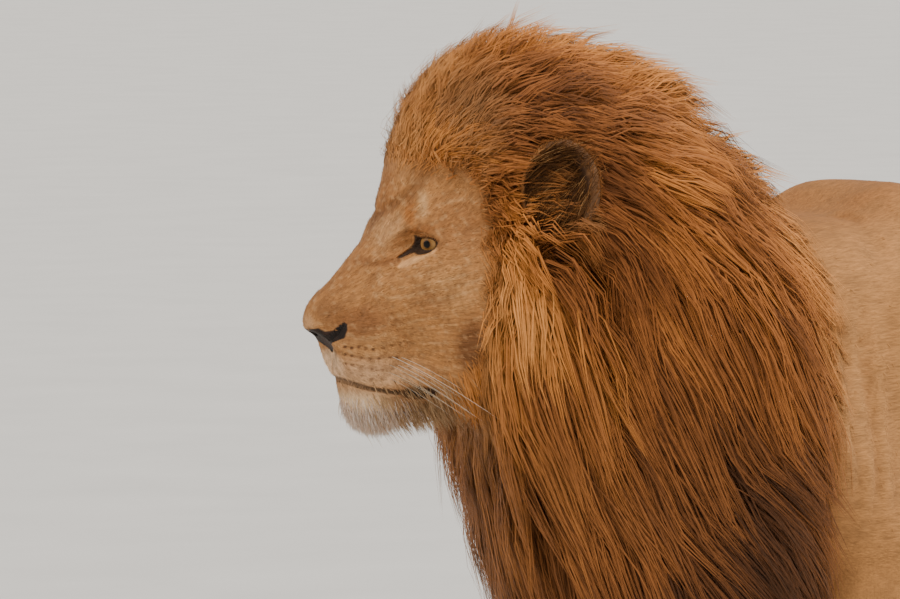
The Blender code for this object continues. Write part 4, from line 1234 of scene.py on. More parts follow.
def made_mane(surface):
    depth = lock_envelope(surface.middles)
    density = smoothstep(-0.001, -0.01, depth) * (ear_distance(surface.middles) > 0.005)
    q = head_frame(surface.middles)
    density *= 1.0 + 1.6 * smoothstep(0.26, 0.2, away_from(q, [-0.08, 0, 0.05]))
    density *= 1.0 + 1.0 * smoothstep(-0.045, -0.03, depth)
    density *= smoothstep(0.0, 0.01, beyond_face(q))
    roots, normals, spots = surface.scattered(LOCKS, density)
    depth, _ = outward(lock_envelope, roots, 1e-3)
    _, sizes = mane_lie(roots)
    edge = np.clip(-depth / CORE_DEPTH, 0.0, 1.0)
    lengths = sizes[:, 0] * (0.24 + 0.76 * edge) * chance.uniform(0.8, 1.2, LOCKS)
    lengths *= 0.4 + 0.6 * smoothstep(0.0, 0.035, beyond_face(head_frame(roots)))
    layer = -0.003 - 0.034 * chance.random(LOCKS) ** 1.6
    layer = np.maximum(layer, depth * 0.8)
    middle = lock_paths(roots, normals, lengths, layer)
    shares = np.array([0.0, 0.3, 0.64, 1.0])
    number = STRANDS_PER_LOCK
    base = np.repeat(at_shares(middle, shares), number, axis=0)
    run = unit(base[:, 2] - base[:, 1])
    outer = [outward(lock_envelope, place, 1e-3)[1] for place in at_shares(middle, shares).transpose(1, 0, 2)]
    outer = np.repeat(np.stack(outer, axis=1), number, axis=0)
    up = outer[:, 1].copy()
    across = unit(np.cross(run, up))
    up = np.cross(across, run)
    hairs = len(base)
    spread = np.repeat((0.007 + 0.009 * edge) * chance.uniform(0.7, 1.4, LOCKS), number)
    aside, lift = chance.normal(0, 0.62, (2, hairs)) * spread
    lift = 0.35 * lift + 0.018 * (chance.random(hairs) < 0.06) * chance.random(hairs)
    pinch = 1 - 0.62 * shares**1.4
    phase = chance.uniform(0, 6.28, (2, hairs))
    sway = np.repeat(chance.uniform(0.5, 1.5, LOCKS), number)[:, None] * 0.0022
    wave = sway * np.sin(phase[:1].T + shares * 5.0) * shares
    cut = chance.uniform(0.82, 1.06, hairs)
    grown = base[:, :1] + (base - base[:, :1]) * cut[:, None, None]
    paths = grown + across[:, None, :] * (aside[:, None] * pinch + wave)[:, :, None]
    paths += up[:, None, :] * (lift[:, None] * pinch * np.minimum(shares * 3, 1.0))[:, :, None]
    _, sizes = mane_lie(base[:, 2])
    tone = np.repeat(chance.normal(0, 0.045, LOCKS), number) + chance.normal(0, 0.04, hairs)
    tone += sizes[:, 1] + 0.1 * rough_waves(base[:, 2], 0.12, 31) + 0.07 * rough_waves(base[:, 2], 0.04, 32)
    tone -= 0.06 * np.repeat(np.clip((-layer - 0.01) / 0.03, 0, 1), number)
    low = smoothstep(1.06, 0.8, base[:, 1, 2])  # duller and darker low on the neck
    root_colour = laid_over(ramp(tone - 0.06, MANE_TONES), shade(84, 57, 37), 0.34 * low)
    tip_colour = laid_over(ramp(tone + 0.05, MANE_TONES), shade(108, 73, 47), 0.34 * low)
    short = np.repeat(smoothstep(0.75, 0.25, edge), number)
    face_colour = np.repeat(markings(roots)[0], number, axis=0)
    root_colour = laid_over(root_colour, face_colour, 0.6 * short)
    tip_colour = laid_over(tip_colour, face_colour, 0.35 * short)
    width = chance.uniform(0.0015, 0.0027, hairs) * (1 - 0.4 * short)
    taper = np.array([0.9, 1.0, 0.85, 0.0])
    spots = np.repeat(spots, number, axis=0)
    order = np.argsort(base[:, 0, 0] + 0.002 * base[:, 0, 2], kind="stable")
    names = ["mane_shoulder_locks", "mane_nape_locks", "mane_neck_locks",
             "mane_crown_locks", "mane_cheek_locks", "mane_brow_locks"]
    pieces = []
    for name, chosen in zip(names, np.array_split(order, len(names))):
        pieces.append(add_hair(
            name, paths[chosen], across[chosen], width[chosen], 0.22 * width[chosen], taper,
            spots[chosen], root_colour[chosen], tip_colour[chosen], outer[chosen]))
    return pieces


def made_hairline(surface, grows):
    """Middling hair that blends the short coat of the face into the mane."""
    q = head_frame(surface.middles)
    edge = beyond_face(q)
    density = smoothstep(0.3, 0.24, away_from(q, [-0.05, 0, -0.03])) * (q[:, 0] > -0.14)
    brow = smoothstep(0.03, 0.07, q[:, 2])
    density *= smoothstep(-0.026 - 0.012 * brow, 0.006, edge) * smoothstep(0.06, 0.035, edge)
    density *= (grows > 0.02) | (mane_envelope(surface.middles) < -0.002)
    density = density * (ear_distance(surface.middles) > 0.005)
    roots, normals, spots = surface.scattered(HAIRLINE_HAIRS, density)
    edge = beyond_face(head_frame(roots)) + chance.normal(0, 0.006, HAIRLINE_HAIRS)
    inner = smoothstep(-0.014, 0.016, edge)
    lie, sizes = mane_lie(roots)
    lie = laid_over(coat_lie(roots, normals), unit(lie), inner) + chance.normal(0, 0.1, roots.shape)
    lie = along_skin(lie, normals)
    reach = np.interp(edge, [-0.03, -0.01, 0.0, 0.012, 0.035], [0.006, 0.008, 0.013, 0.024, 0.038])
    reach = reach * chance.uniform(0.7, 1.3, len(roots))
    reach = np.minimum(reach, 0.9 * sizes[:, 0])
    share = np.linspace(0, 1, 4)[None, :, None]
    sag = head_way(-0.1, 0.0, -0.28)
    inner, reach = inner[:, None, None], reach[:, None, None]
    rise = (0.05 + 0.22 * inner) * reach
    paths = roots[:, None, :] + reach * (lie[:, None, :] * share + sag * share**2 * inner)
    paths += normals[:, None, :] * (rise * share * (1.6 - share) - 0.001)
    tone = sizes[:, 1] + chance.normal(0, 0.06, len(roots))
    coat = markings(roots)[0]
    colour = laid_over(coat, ramp(tone - 0.05, MANE_TONES), 0.9 * smoothstep(-0.01, 0.026, edge))
    tip = laid_over(np.clip(1.1 * coat, 0, 1), ramp(tone + 0.08, MANE_TONES),
                    0.9 * smoothstep(-0.022, 0.02, edge))
    width = chance.uniform(0.001, 0.0018, len(roots))
    across = unit(np.cross(lie, normals))
    outer = np.repeat(normals[:, None, :], 4, axis=1)
    taper = np.array([0.9, 1.0, 0.75, 0.0])
    return add_hair("hairline", paths, across, width, 0.3 * width, taper, spots, colour, tip, outer)


# ---------------------------------------------------------------- short coat
def tufts(name, surface, number, density, length, width, lift, stations, vary):
    """Short hairs lying along the skin. length, width and lift are ranges, for each hair to pick from."""
    roots, normals, spots = surface.scattered(number, density)
    lie = coat_lie(roots, normals)
    across = np.cross(lie, normals)
    turn = chance.normal(0, 0.16, number)[:, None]
    lie = unit(lie + turn * across)
    across = unit(np.cross(lie, normals))
    size = chance.uniform(*length, number)[:, None, None]
    rise = chance.uniform(*lift, number)[:, None, None]
    share = np.linspace(0, 1, stations)[None, :, None]
    paths = roots[:, None, :] + lie[:, None, :] * size * share
    paths += normals[:, None, :] * (-0.0012 + (rise + 0.0012) * share**0.75)
    colours = markings(roots)[0]
    colours = np.clip(colours * (1 + chance.normal(0, vary, number)[:, None]), 0, 1)
    broad = chance.uniform(*width, number)
    taper = np.append(np.linspace(0.9, 0.75, stations - 1), 0.0)
    outer = np.repeat(normals[:, None, :], stations, axis=1)
    tips = np.clip(colours * 1.08, 0, 1)
    return add_hair(name, paths, across, broad, 0.3 * broad, taper, spots, colours, tips, outer)


def coat_density(points):
    """Where the short coat grows: not under the mane, on leather, or between the lids."""
    q = head_frame(points)
    thin = markings(points)[3]
    u, v, out, away = eye_frame(on_left(q))
    between = (away < EYE_RADIUS + 0.004) & (lid_opening(u, v) < 0.0012) & (out > 0)
    depth = mane_envelope(points)
    short_haired = smoothstep(0.006, -0.002, beyond_face(q)) * (depth > -0.06)
    open_air = np.maximum(smoothstep(-0.03, -0.012, depth), short_haired)
    return open_air * smoothstep(0.5, 0.1, thin) * ~between * (points[:, 2] > 0.004)


def made_coat(surface):
    grows = coat_density(surface.middles)
    q = head_frame(surface.middles)
    from_face = away_from(q, FACE_MIDDLE)
    face = grows * smoothstep(0.24, 0.19, from_face)
    feet = grows * smoothstep(0.22, 0.16, surface.middles[:, 2])
    body = (grows * (1 - smoothstep(0.24, 0.19, from_face))
            * (1 - smoothstep(0.22, 0.16, surface.middles[:, 2])))
    fine = smoothstep(0.15, 0.06, away_from(q, [0.13, 0, -0.11]))
    ears = away_from(on_left(q), EAR_MIDDLE)
    belly = body * smoothstep(0.7, 0.64, surface.middles[:, 2]) * (surface.middles[:, 0] < 0.25)
    belly *= smoothstep(-0.2, -0.7, surface.normals[:, 2]) * (surface.middles[:, 0] > -0.45)
    elbow = bell(np.linalg.norm((surface.middles - [0.285, 0, 0.6]) * [1, 0, 1], axis=1), 0.05)
    skin_like = body * (ears > 0.09)
    pieces = [made_hairline(surface, grows)]
    broad_face = face * (1 - 0.6 * fine)
    # number, where it grows, ranges of length, width and lift, stations and how much the colour varies
    for name, *kind in (
        ("body_coat", BODY_TUFTS, skin_like, (0.008, 0.013), (0.0012, 0.002), (0.0004, 0.0012), 3, 0.06),
        ("face_coat", FACE_TUFTS, broad_face, (0.005, 0.009), (0.0009, 0.0014), (0.0008, 0.0018), 3, 0.16),
        ("muzzle_coat", MUZZLE_TUFTS, face * fine, (0.003, 0.005), (0.0007, 0.001), (0.0004, 0.001), 3, 0.12),
        ("paw_coat", FOOT_TUFTS, feet, (0.006, 0.01), (0.0012, 0.002), (0.0008, 0.0018), 3, 0.06),
        ("belly_fringe", BELLY_TUFTS, belly, (0.02, 0.034), (0.0014, 0.0022), (0.004, 0.006), 4, 0.06),
        ("elbow_fringe", ELBOW_TUFTS, elbow * grows,
         (0.018, 0.032), (0.0014, 0.0022), (0.004, 0.006), 4, 0.06),
    ):
        pieces.append(tufts(name, surface, *kind))
    return pieces


def hanging(name, roots, leaning, length, width, bend, spots, tones, spread=0.15, stations=5):
    """Free hairs that leave their roots one way and bend another."""
    number = len(roots)
    leaning = unit(leaning + chance.normal(0, spread, (number, 3)))
    share = np.linspace(0, 1, stations)[None, :, None]
    size = (length * chance.uniform(0.7, 1.15, number))[:, None, None]
    bowed = np.atleast_2d(bend)[:, None] * size * share**2
    paths = roots[:, None, :] + leaning[:, None, :] * size * share + bowed
    across = unit(np.cross(leaning, np.array([0.1, 0.2, 1.0])))
    broad = width * chance.uniform(0.8, 1.2, number)
    taper = np.append(np.linspace(1.0, 0.55, stations - 1), 0.0)
    colours = ramp(np.clip(chance.normal(0.5, 0.25, number), 0, 1), tones)
    return add_hair(name, paths, across, broad, 0.7 * broad, taper, spots, 0.8 * colours, colours)


def made_tail_tuft(surface):
    line = [np.array(place) for place, _ in tail_line()]
    end, before = line[-1], line[-3]
    share = np.clip((surface.middles - before) @ (end - before) / ((end - before) @ (end - before)), 0, 1)
    near = np.linalg.norm(surface.middles - before - share[:, None] * (end - before), axis=1) < 0.035
    roots, normals, spots = surface.scattered(TAIL_HAIRS, near * (0.3 + share))
    down = (end - before) / np.linalg.norm(end - before)
    lean = 0.62 * normals + down
    length = np.clip(0.055 + 0.06 * (roots[:, 2] - 0.24) / 0.12, 0.045, 0.11)
    bend = 0.55 * down - 0.42 * normals
    tones = [(0, shade(34, 21, 14)), (1, shade(96, 60, 36))]
    return hanging("tail_tuft_hair", roots, lean, length, 0.0022, bend, spots, tones, 0.1)


def made_beard(surface):
    q = head_frame(surface.middles)
    chin = bell(oval(q, [0.052, 0, -0.212], [1.2, 1.3, 1.0]), 0.03)
    chin *= (surface.normals[:, 2] < 0.35) * (q[:, 2] < -0.186)
    roots, normals, spots = surface.scattered(CHIN_HAIRS, chin)
    lean = normals * 0.25 + np.array([0, 0, -1.0]) + head_way(-0.35, 0, 0)
    bend = head_way(-0.15, 0, -0.25)
    tones = [(0, shade(232, 200, 174)), (1, shade(255, 240, 226))]
    chin_hair = hanging("chin_beard", roots, lean, 0.015, 0.0009, bend, spots, tones, 0.2, 4)
    jaw = bell(oval(q, [-0.01, 0, -0.19], [1.6, 2.6, 1.0]), 0.03)
    jaw *= (surface.normals[:, 2] < 0.0) * (q[:, 2] < -0.15)
    roots, normals, spots = surface.scattered(JAW_HAIRS, jaw)
    lean = normals * 0.5 + head_way(-0.6, 0, -0.9)
    bend = head_way(-0.3, 0, -0.3)
    tones = [(0, shade(170, 128, 84)), (1, shade(214, 180, 138))]
    return [chin_hair, hanging("jaw_hair", roots, lean, 0.024, 0.0011, bend, spots, tones, 0.2, 4)]


def made_ear_hair(surface):
    """Long soft hair across the cup, and short fur on the rim and back."""
    pieces = []
    for (name, side), (outer, cup, _) in zip(SIDES.items(), EARS):
        in_cup = (np.abs(cup.distance(surface.middles)) < 0.004) & (outer.distance(surface.middles) < 0.001)
        ahead = smoothstep(-0.175, -0.125, head_frame(surface.middles)[:, 0])
        roots, normals, spots = surface.scattered(EAR_HAIRS, in_cup * (0.15 + ahead) + 1e-12)
        across_cup = from_head(np.array([[-0.19, side * 0.185, 0.105]]))[0] - roots
        lean = unit(across_cup) + 0.25 * normals + np.array([0, 0, 0.3])
        bend = head_way(-0.3, side * 0.1, 0.15)
        tones = [(0, shade(46, 28, 16)), (0.5, shade(96, 62, 34)), (0.85, shade(150, 100, 54)),
                 (1, shade(206, 156, 100))]
        pieces.append(hanging("ear_hair_" + name, roots, lean, 0.034, 0.0011, bend, spots, tones, 0.25, 4))
        on_ear = (np.abs(outer.distance(surface.middles)) < 0.003) & (cup.distance(surface.middles) > 0.0)
        roots, normals, spots = surface.scattered(EAR_HAIRS, on_ear.astype(float) + 1e-12)
        lean = 0.35 * normals + head_way(-0.35, 0.0, 0.9)
        bend = -0.2 * normals
        tones = [(0, shade(120, 72, 36)), (1, shade(196, 130, 70))]
        pieces.append(hanging("ear_fur_" + name, roots, lean, 0.008, 0.0011, bend, spots, tones, 0.12, 3))
    return pieces


# height, place of the first whisker, and how many there are in each row
WHISKER_BED = ((-0.1345, 0.044, 2), (-0.144, 0.047, 3), (-0.154, 0.045, 3), (-0.162, 0.042, 2))


def made_whiskers():
    roots, leans, lengths = [], [], []
    for side in SIDES.values():
        for height, first, number in WHISKER_BED:
            for place in range(number):
                x = first - 0.012 * place
                z = height - 0.0012 * place
                y = side * 0.03
                for _ in range(40):
                    point = from_head(np.array([[x, y, z]]))
                    y += side * 0.8 * max(-skin_field(point)[0], 0.0)
                roots.append(from_head(np.array([[x, y - side * 0.001, z]]))[0])
                leans.append(head_way(-0.74, side * 0.5, -0.34 - 4.0 * (-0.14 - z)))
                lengths.append(chance.uniform(*WHISKER_REACH))
    roots, leans, lengths = np.array(roots), unit(np.array(leans)), np.array(lengths)
    bend = head_way(-0.28, 0.0, -0.3)
    tones = [(0, shade(214, 196, 168)), (1, shade(246, 238, 224))]
    spots = np.full((len(roots), 2), 0.5)
    return hanging("whiskers", roots, leans, lengths, 0.0009, bend, spots, tones, 0.07, 9)


def made_claws():
    points, faces = [], []
    for tip, fan, size in TOES:
        reach = np.array([math.cos(fan), math.sin(fan), 0.0])
        start = tip + reach * 0.0135 * size + np.array([0, 0, -0.001])
        rings = 7
        for r in range(rings):
            share = r / (rings - 1)
            drop = np.array([0, 0, -0.014 * size * share**1.8])
            middle = start + reach * 0.013 * size * math.sin(share * 1.4) + drop
            wide = 0.0034 * size * (1 - 0.92 * share**1.3)
            for s in range(8):
                turn = 2 * math.pi * s / 8
                side = np.array([-reach[1], reach[0], 0.0])
                up = np.array([0, 0, 1.0]) * wide * math.sin(turn)
                points.append(middle + side * wide * 0.7 * math.cos(turn) + up)
        base = len(points) - rings * 8
        for r in range(rings - 1):
            for s in range(8):
                a, b = base + r * 8 + s, base + r * 8 + (s + 1) % 8
                faces += [(a, b, b + 8), (a, b + 8, a + 8)]
        faces += [(base, base + s + 1, base + s) for s in range(1, 7)]
        last = base + (rings - 1) * 8
        faces += [(last, last + s, last + s + 1) for s in range(1, 7)]
    points = np.array(points)
    points[:, 2] = np.maximum(points[:, 2], 0.0005)
    return add_mesh("claws", points, np.array(faces))


def made_eye(name, side):
    """A ball with a clear bulge over the iris. Its own space has +X out along the gaze."""
    mesh = bpy.data.meshes.new("eyeball_" + name)
    shaped = bmesh.new()
    bmesh.ops.create_uvsphere(shaped, u_segments=48, v_segments=32, radius=EYE_RADIUS - 0.0003)
    for vertex in shaped.verts:
        x, y, z = vertex.co.z, vertex.co.x, vertex.co.y
        ring = math.hypot(y, z)
        swell = 0.0003 * float(smoothstep(0.0115, 0.004, np.array([ring]))[0]) if x > 0 else 0.0
        vertex.co = Vector((x + swell, y, z))
    bmesh.ops.recalc_face_normals(shaped, faces=shaped.faces)
    shaped.to_mesh(mesh)
    shaped.free()
    mesh.shade_smooth()
    gaze = Vector((math.cos(GAZE_OUT) * math.cos(GAZE_DOWN), side * math.sin(GAZE_OUT) * math.cos(GAZE_DOWN),
                   -math.sin(GAZE_DOWN)))
    gaze = HEAD_TURN @ gaze
    level = Vector((0, 0, 1)).cross(gaze).normalized()
    turn = Matrix((gaze, level, gaze.cross(level))).transposed()
    place = in_head((EYE_PLACE[0], side * EYE_PLACE[1], EYE_PLACE[2])) + Vector(SHIFT)
    local = points_of(mesh)
    out = np.linalg.norm(local[:, 1:], axis=1) + 0.02 * (local[:, 0] < 0)
    mesh.attributes.new("from_pupil", "FLOAT", "POINT").data.foreach_set("value", out)
    spin = mesh.attributes.new("spin", "FLOAT_VECTOR", "POINT")
    spin.data.foreach_set("vector", (local / EYE_RADIUS).ravel())
    mesh.transform(Matrix.Translation(place) @ turn.to_4x4())
    piece = bpy.data.objects.new("eyeball_" + name, mesh)
    bpy.context.scene.collection.objects.link(piece)
    return piece


# ---------------------------------------------------------------- materials
class Nodes:
    """A short hand for one node tree."""

    def __init__(self, tree):
        self.tree = tree

    def add(self, kind, settings=None, **inputs):
        node = self.tree.nodes.new(kind)
        for key, value in (settings or {}).items():
            setattr(node, key, value)
        for key, value in inputs.items():
            numbered = key[0] == "i" and key[1:].isdigit()
            socket = node.inputs[int(key[1:]) if numbered else key.replace("_", " ")]
            if isinstance(value, bpy.types.NodeSocket):
                self.tree.links.new(value, socket)
            else:
                socket.default_value = value
        return node

    def attribute(self, name, output="Fac"):
        return self.add("ShaderNodeAttribute", {"attribute_name": name}).outputs[output]

    def math(self, operation, first, second=0.0, third=None):
        extra = {} if third is None else {"i2": third}
        return self.add("ShaderNodeMath", {"operation": operation}, i0=first, i1=second, **extra).outputs[0]

    def vector(self, operation, first, output=0, **inputs):
        return self.add("ShaderNodeVectorMath", {"operation": operation}, i0=first, **inputs).outputs[output]

    def noise(self, vector, scale, detail, **inputs):
        settings = {"noise_dimensions": "4D"} if "W" in inputs else None
        inputs = {"Vector": vector, "Scale": scale, "Detail": detail, **inputs}
        return self.add("ShaderNodeTexNoise", settings, **inputs).outputs["Fac"]

    def place(self):
        return self.add("ShaderNodeTexCoord").outputs["Object"]

    def mixed(self, share, first, second, blend="MIX"):
        settings = {"data_type": "RGBA", "blend_type": blend}
        node = self.add("ShaderNodeMix", settings, i0=share, i6=first, i7=second)
        return node.outputs[2]

    def lit(self, colour, light):
        """The colour made lighter or darker by a share of light."""
        grey = self.add("ShaderNodeCombineColor", None, i0=light, i1=light, i2=light).outputs[0]
        return self.mixed(1.0, colour, grey, "MULTIPLY")

    def bump(self, height, strength, distance):
        node = self.add("ShaderNodeBump", None, Strength=strength, Distance=distance, Height=height)
        return node.outputs[0]

    def spread(self, value, low, high, out_low, out_high):
        node = self.add("ShaderNodeMapRange", None, i0=value, i1=low, i2=high, i3=out_low, i4=out_high)
        return node.outputs[0]


def streak_group():
    """Fine hair lying along the coat: streaks along the body, down the legs, and out from the nose."""
    tree = bpy.data.node_groups.new("Lie of hair", "ShaderNodeTree")
    for name, kind, low in (("Length", "NodeSocketFloat", 60.0), ("Fineness", "NodeSocketFloat", 420.0),
                            ("Legs", "NodeSocketFloat", 0.0), ("Face", "NodeSocketFloat", 0.0)):
        tree.interface.new_socket(name, in_out="INPUT", socket_type=kind).default_value = low
    tree.interface.new_socket("Streaks", in_out="OUTPUT", socket_type="NodeSocketFloat")
    nodes = Nodes(tree)
    given = nodes.add("NodeGroupInput").outputs
    place = nodes.place()
    parts = nodes.add("ShaderNodeSeparateXYZ", None, i0=place).outputs
    long_x = nodes.math("MULTIPLY", parts[0], given["Length"])
    long_z = nodes.math("MULTIPLY", parts[2], given["Length"])

    def noise(vector, along):
        return nodes.noise(vector, 1.0, 2.0, W=along, Roughness=0.6)

    def across(flat):
        return nodes.vector("SCALE", nodes.vector("MULTIPLY", place, i1=flat), Scale=given["Fineness"])

    body = noise(across((0.0, 1.0, 1.0)), long_x)
    legs = noise(across((1.0, 1.0, 0.0)), long_z)
    nose = tuple(from_head(np.array([NOSE_TIP]))[0] + SHIFT)
    ray = nodes.vector("SUBTRACT", place, i1=nose)
    far = nodes.vector("LENGTH", ray, output=1)
    heading = nodes.vector("NORMALIZE", ray)
    round_nose = nodes.vector("SCALE", heading, Scale=nodes.math("MULTIPLY", given["Fineness"], 0.2))
    face = noise(round_nose, nodes.math("MULTIPLY", far, given["Length"]))
    mixed = nodes.add("ShaderNodeMix", {"data_type": "FLOAT"}, i0=given["Legs"], i2=body, i3=legs).outputs[0]
    mixed = nodes.add("ShaderNodeMix", {"data_type": "FLOAT"}, i0=given["Face"], i2=mixed, i3=face).outputs[0]
    end = nodes.add("NodeGroupOutput")
    tree.links.new(mixed, end.inputs["Streaks"])
    return tree


def material(name, roughness, **constants):
    made = bpy.data.materials.new(name)
    made.use_nodes = True
    shader = made.node_tree.nodes["Principled BSDF"]
    shader.inputs["Roughness"].default_value = roughness
    for key, value in constants.items():
        shader.inputs[key.replace("_", " ")].default_value = value
    return made, Nodes(made.node_tree), shader


def joined(nodes, shader, socket, value):
    nodes.tree.links.new(value, shader.inputs[socket])


def skin_material(streaks):
    made, nodes, shader = material("short tawny coat over skin", 0.75, Sheen_Weight=0.04, Sheen_Roughness=0.5,
                                   Sheen_Tint=(1.0, 0.8, 0.55, 1.0), Specular_IOR_Level=0.22)
    tint = nodes.attribute("tint", "Color")
    leather, bare = nodes.attribute("leather"), nodes.attribute("bare")
    fine, coarse = [
        nodes.add("ShaderNodeGroup", {"node_tree": streaks}, Length=length, Fineness=fineness,
                  Legs=nodes.attribute("legs"), Face=nodes.attribute("face")).outputs[0]
        for length, fineness in ((55.0, 480.0), (22.0, 150.0))
    ]
    furred = nodes.math("SUBTRACT", 1.0, bare)
    streaked = nodes.spread(fine, 0.3, 0.72, 0.72, 1.2), nodes.spread(coarse, 0.3, 0.7, 0.86, 1.12)
    light = nodes.math("MULTIPLY", *streaked)
    light = nodes.math("ADD", nodes.math("MULTIPLY", light, furred), bare)
    joined(nodes, shader, "Base Color", nodes.lit(tint, light))
    pebbles = nodes.add("ShaderNodeTexVoronoi", None, Vector=nodes.place(), Scale=620.0).outputs["Distance"]
    furrows = nodes.math("MULTIPLY", nodes.math("ADD", fine, nodes.math("MULTIPLY", coarse, 1.2)), furred)
    height = nodes.math("ADD", furrows, nodes.math("MULTIPLY", pebbles, nodes.math("MULTIPLY", leather, 0.8)))
    joined(nodes, shader, "Normal", nodes.bump(height, 0.55, 0.0016))
    joined(nodes, shader, "Roughness", nodes.spread(bare, 0.0, 1.0, 0.8, 0.62))
    return made


def hair_material(name, roughness, low, high, sheen=0.04):
    made, nodes, shader = material(name, roughness, Sheen_Weight=sheen, Sheen_Roughness=0.4,
                                   Sheen_Tint=(1.0, 0.7, 0.4, 1.0), Specular_IOR_Level=0.12)
    tint = nodes.attribute("tint", "Color")
    noise = nodes.noise(nodes.place(), 160.0, 3.0)
    joined(nodes, shader, "Base Color", nodes.lit(tint, nodes.spread(noise, 0.3, 0.7, low, high)))
    joined(nodes, shader, "Roughness", nodes.spread(noise, 0.3, 0.7, roughness - 0.06, roughness + 0.08))
    return made


def eye_material():
    made, nodes, shader = material("amber eye", 0.1, Coat_Weight=0.12, Coat_Roughness=0.04,
                                   Specular_IOR_Level=0.1)
    out = nodes.attribute("from_pupil")
    spin = nodes.attribute("spin", "Vector")
    parts = nodes.add("ShaderNodeSeparateXYZ", None, i0=spin).outputs
    turn = nodes.math("ARCTAN2", parts[1], parts[2])
    round_iris = nodes.add("ShaderNodeCombineXYZ", None, i0=nodes.math("COSINE", turn),
                           i1=nodes.math("SINE", turn), i2=0.0)
    rays = nodes.noise(round_iris.outputs[0], 9.0, 4.0, W=nodes.math("MULTIPLY", out, 90.0))
    ring = nodes.math("ADD", out, nodes.math("MULTIPLY", nodes.math("SUBTRACT", rays, 0.5), 0.0014))
    bands = nodes.add("ShaderNodeValToRGB", None, i0=nodes.spread(ring, 0.0, 0.015, 0.0, 1.0))
    stops = [
        (0.0, shade(6, 5, 5)), (0.275, shade(8, 6, 5)), (0.31, shade(100, 66, 32)),
        (0.45, shade(150, 108, 58)), (0.62, shade(168, 126, 74)), (0.7, shade(124, 84, 44)),
        (0.745, shade(46, 30, 20)), (0.8, shade(52, 36, 30)), (1.0, shade(120, 92, 80)),
    ]
    strip = bands.color_ramp
    for place, colour in stops[1:-1]:
        strip.elements.new(place)
    for element, (place, colour) in zip(strip.elements, stops):
        element.position = place
        element.color = (*colour, 1.0)
    joined(nodes, shader, "Base Color", nodes.lit(bands.outputs[0], nodes.spread(rays, 0.3, 0.7, 0.8, 1.2)))
    return made


def claw_material():
    made, nodes, shader = material("horn claw", 0.35, Specular_IOR_Level=0.5)
    noise = nodes.noise(nodes.place(), 300.0, 4.0)
    dark, pale = (*shade(70, 52, 40), 1), (*shade(150, 126, 100), 1)
    joined(nodes, shader, "Base Color", nodes.mixed(nodes.spread(noise, 0.35, 0.65, 0.0, 1.0), dark, pale))
    joined(nodes, shader, "Normal", nodes.bump(noise, 0.2, 0.0005))
    return made


def floor_material():
    made, nodes, shader = material("pale studio floor", 0.85)
    share = nodes.spread(nodes.noise(nodes.place(), 3.0, 5.0), 0.3, 0.7, 0.0, 1.0)
    joined(nodes, shader, "Base Color", nodes.mixed(share, (0.6, 0.59, 0.57, 1), (0.64, 0.63, 0.61, 1)))
    return made


def finished(piece, made, nodes):
    piece.data.materials.clear()
    piece.data.materials.append(made)
    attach(piece, "root")
    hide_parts(*nodes)


# ---------------------------------------------------------------- the whole lion
flesh_nodes = [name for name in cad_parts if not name.startswith("eye_")]
mane_nodes = [name for name in flesh_nodes if name in ("neck", "head", "trunk")]
streaks = streak_group()
coat_look = hair_material("short tawny hair", 0.62, 0.86, 1.14)
mane_look = hair_material("long mane hair", 0.55, 0.86, 1.14, 0.06)
pale_look = hair_material("pale chin hair", 0.55, 0.9, 1.1)
dark_look = hair_material("dark tail hair", 0.5, 0.8, 1.15)
ear_look = hair_material("soft ear hair", 0.6, 0.85, 1.12)
whisker_look = hair_material("whisker", 0.35, 0.95, 1.05, 0.0)
skin = made_skin()
finished(skin, skin_material(streaks), flesh_nodes)
surface = Surface(skin)
for piece in made_mane(surface):
    finished(piece, mane_look, mane_nodes)
for piece in made_coat(surface):
    if piece.name in ("face_coat", "muzzle_coat"):
        finished(piece, coat_look, ["head", "lower_jaw"])
    else:
        finished(piece, coat_look, flesh_nodes)
finished(made_tail_tuft(surface), dark_look, ["tail_tuft"])
chin_hair, jaw_hair = made_beard(surface)
finished(chin_hair, pale_look, ["lower_jaw"])
finished(jaw_hair, coat_look, ["lower_jaw", "head"])
for piece in made_ear_hair(surface):
    finished(piece, ear_look, ["ear_" + piece.name.split("_")[-1]])
finished(made_whiskers(), whisker_look, ["head"])
finished(made_claws(), claw_material(), [name for name in flesh_nodes if "paw" in name])
eye_look = eye_material()
for name, side in SIDES.items():
    finished(made_eye(name, side), eye_look, ["eye_" + name])

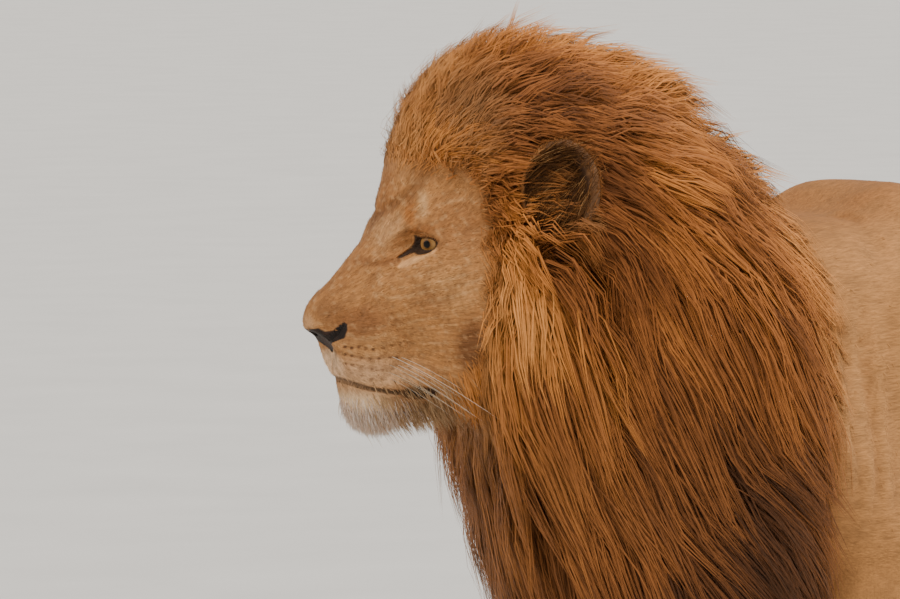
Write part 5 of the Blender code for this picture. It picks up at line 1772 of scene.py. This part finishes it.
# ---------------------------------------------------------------- floor, light and camera
floor_mesh = bpy.data.meshes.new("floor")
FLOOR_REACH = 130.0
floor_corners = [(a * FLOOR_REACH, b * FLOOR_REACH, 0) for a, b in ((-1, -1), (1, -1), (1, 1), (-1, 1))]
floor_mesh.from_pydata(floor_corners, [], [(0, 1, 2, 3)])
floor = bpy.data.objects.new("floor", floor_mesh)
bpy.context.scene.collection.objects.link(floor)
floor.data.materials.append(floor_material())

world = bpy.data.worlds.new("pale room")
bpy.context.scene.world = world
world.use_nodes = True
sky = world.node_tree.nodes["Background"].inputs
sky["Color"].default_value = (0.9, 0.88, 0.86, 1.0)
sky["Strength"].default_value = 0.62


def sun(name, toward, strength, tint, angle):
    lamp = bpy.data.lights.new(name, "SUN")
    lamp.energy = strength
    lamp.color = tint
    lamp.angle = math.radians(angle)
    thing = bpy.data.objects.new(name, lamp)
    thing.rotation_mode = "QUATERNION"
    thing.rotation_quaternion = Vector(toward).to_track_quat("Z", "Y")
    bpy.context.scene.collection.objects.link(thing)


sun("key light", (0.55, 0.55, 1.15), 2.2, (1.0, 0.955, 0.89), 22)
sun("fill light", (0.9, -0.5, 0.55), 0.7, (0.97, 0.97, 1.0), 50)
sun("rim light", (-0.85, 0.4, 0.95), 2.0, (1.0, 0.93, 0.82), 16)

left_eye = (Vector(eye_box[0]) + Vector(eye_box[1])) / 2
azimuth, elevation, distance = math.radians(135.0), math.radians(4.0), 9.0
AIM_ASIDE, AIM_BELOW = 0.0188, 0.0681  # from the left eye to the middle of the frame
back = Vector((math.sin(azimuth) * math.cos(elevation), -math.cos(azimuth) * math.cos(elevation),
               math.sin(elevation)))
rightward = Vector((0, 0, 1)).cross(back).normalized()
upward = back.cross(rightward)
aim = left_eye + AIM_ASIDE * rightward - AIM_BELOW * upward
camera_data = bpy.data.cameras.new("camera")
camera = bpy.data.objects.new("camera", camera_data)
bpy.context.scene.collection.objects.link(camera)
camera_data.lens = 300.0
camera_data.sensor_width = 36.0
camera_data.clip_end = 400.0
camera.location = aim + back * distance
camera.rotation_mode = "QUATERNION"
camera.rotation_quaternion = (-back).to_track_quat("-Z", "Y")
bpy.context.scene.camera = camera
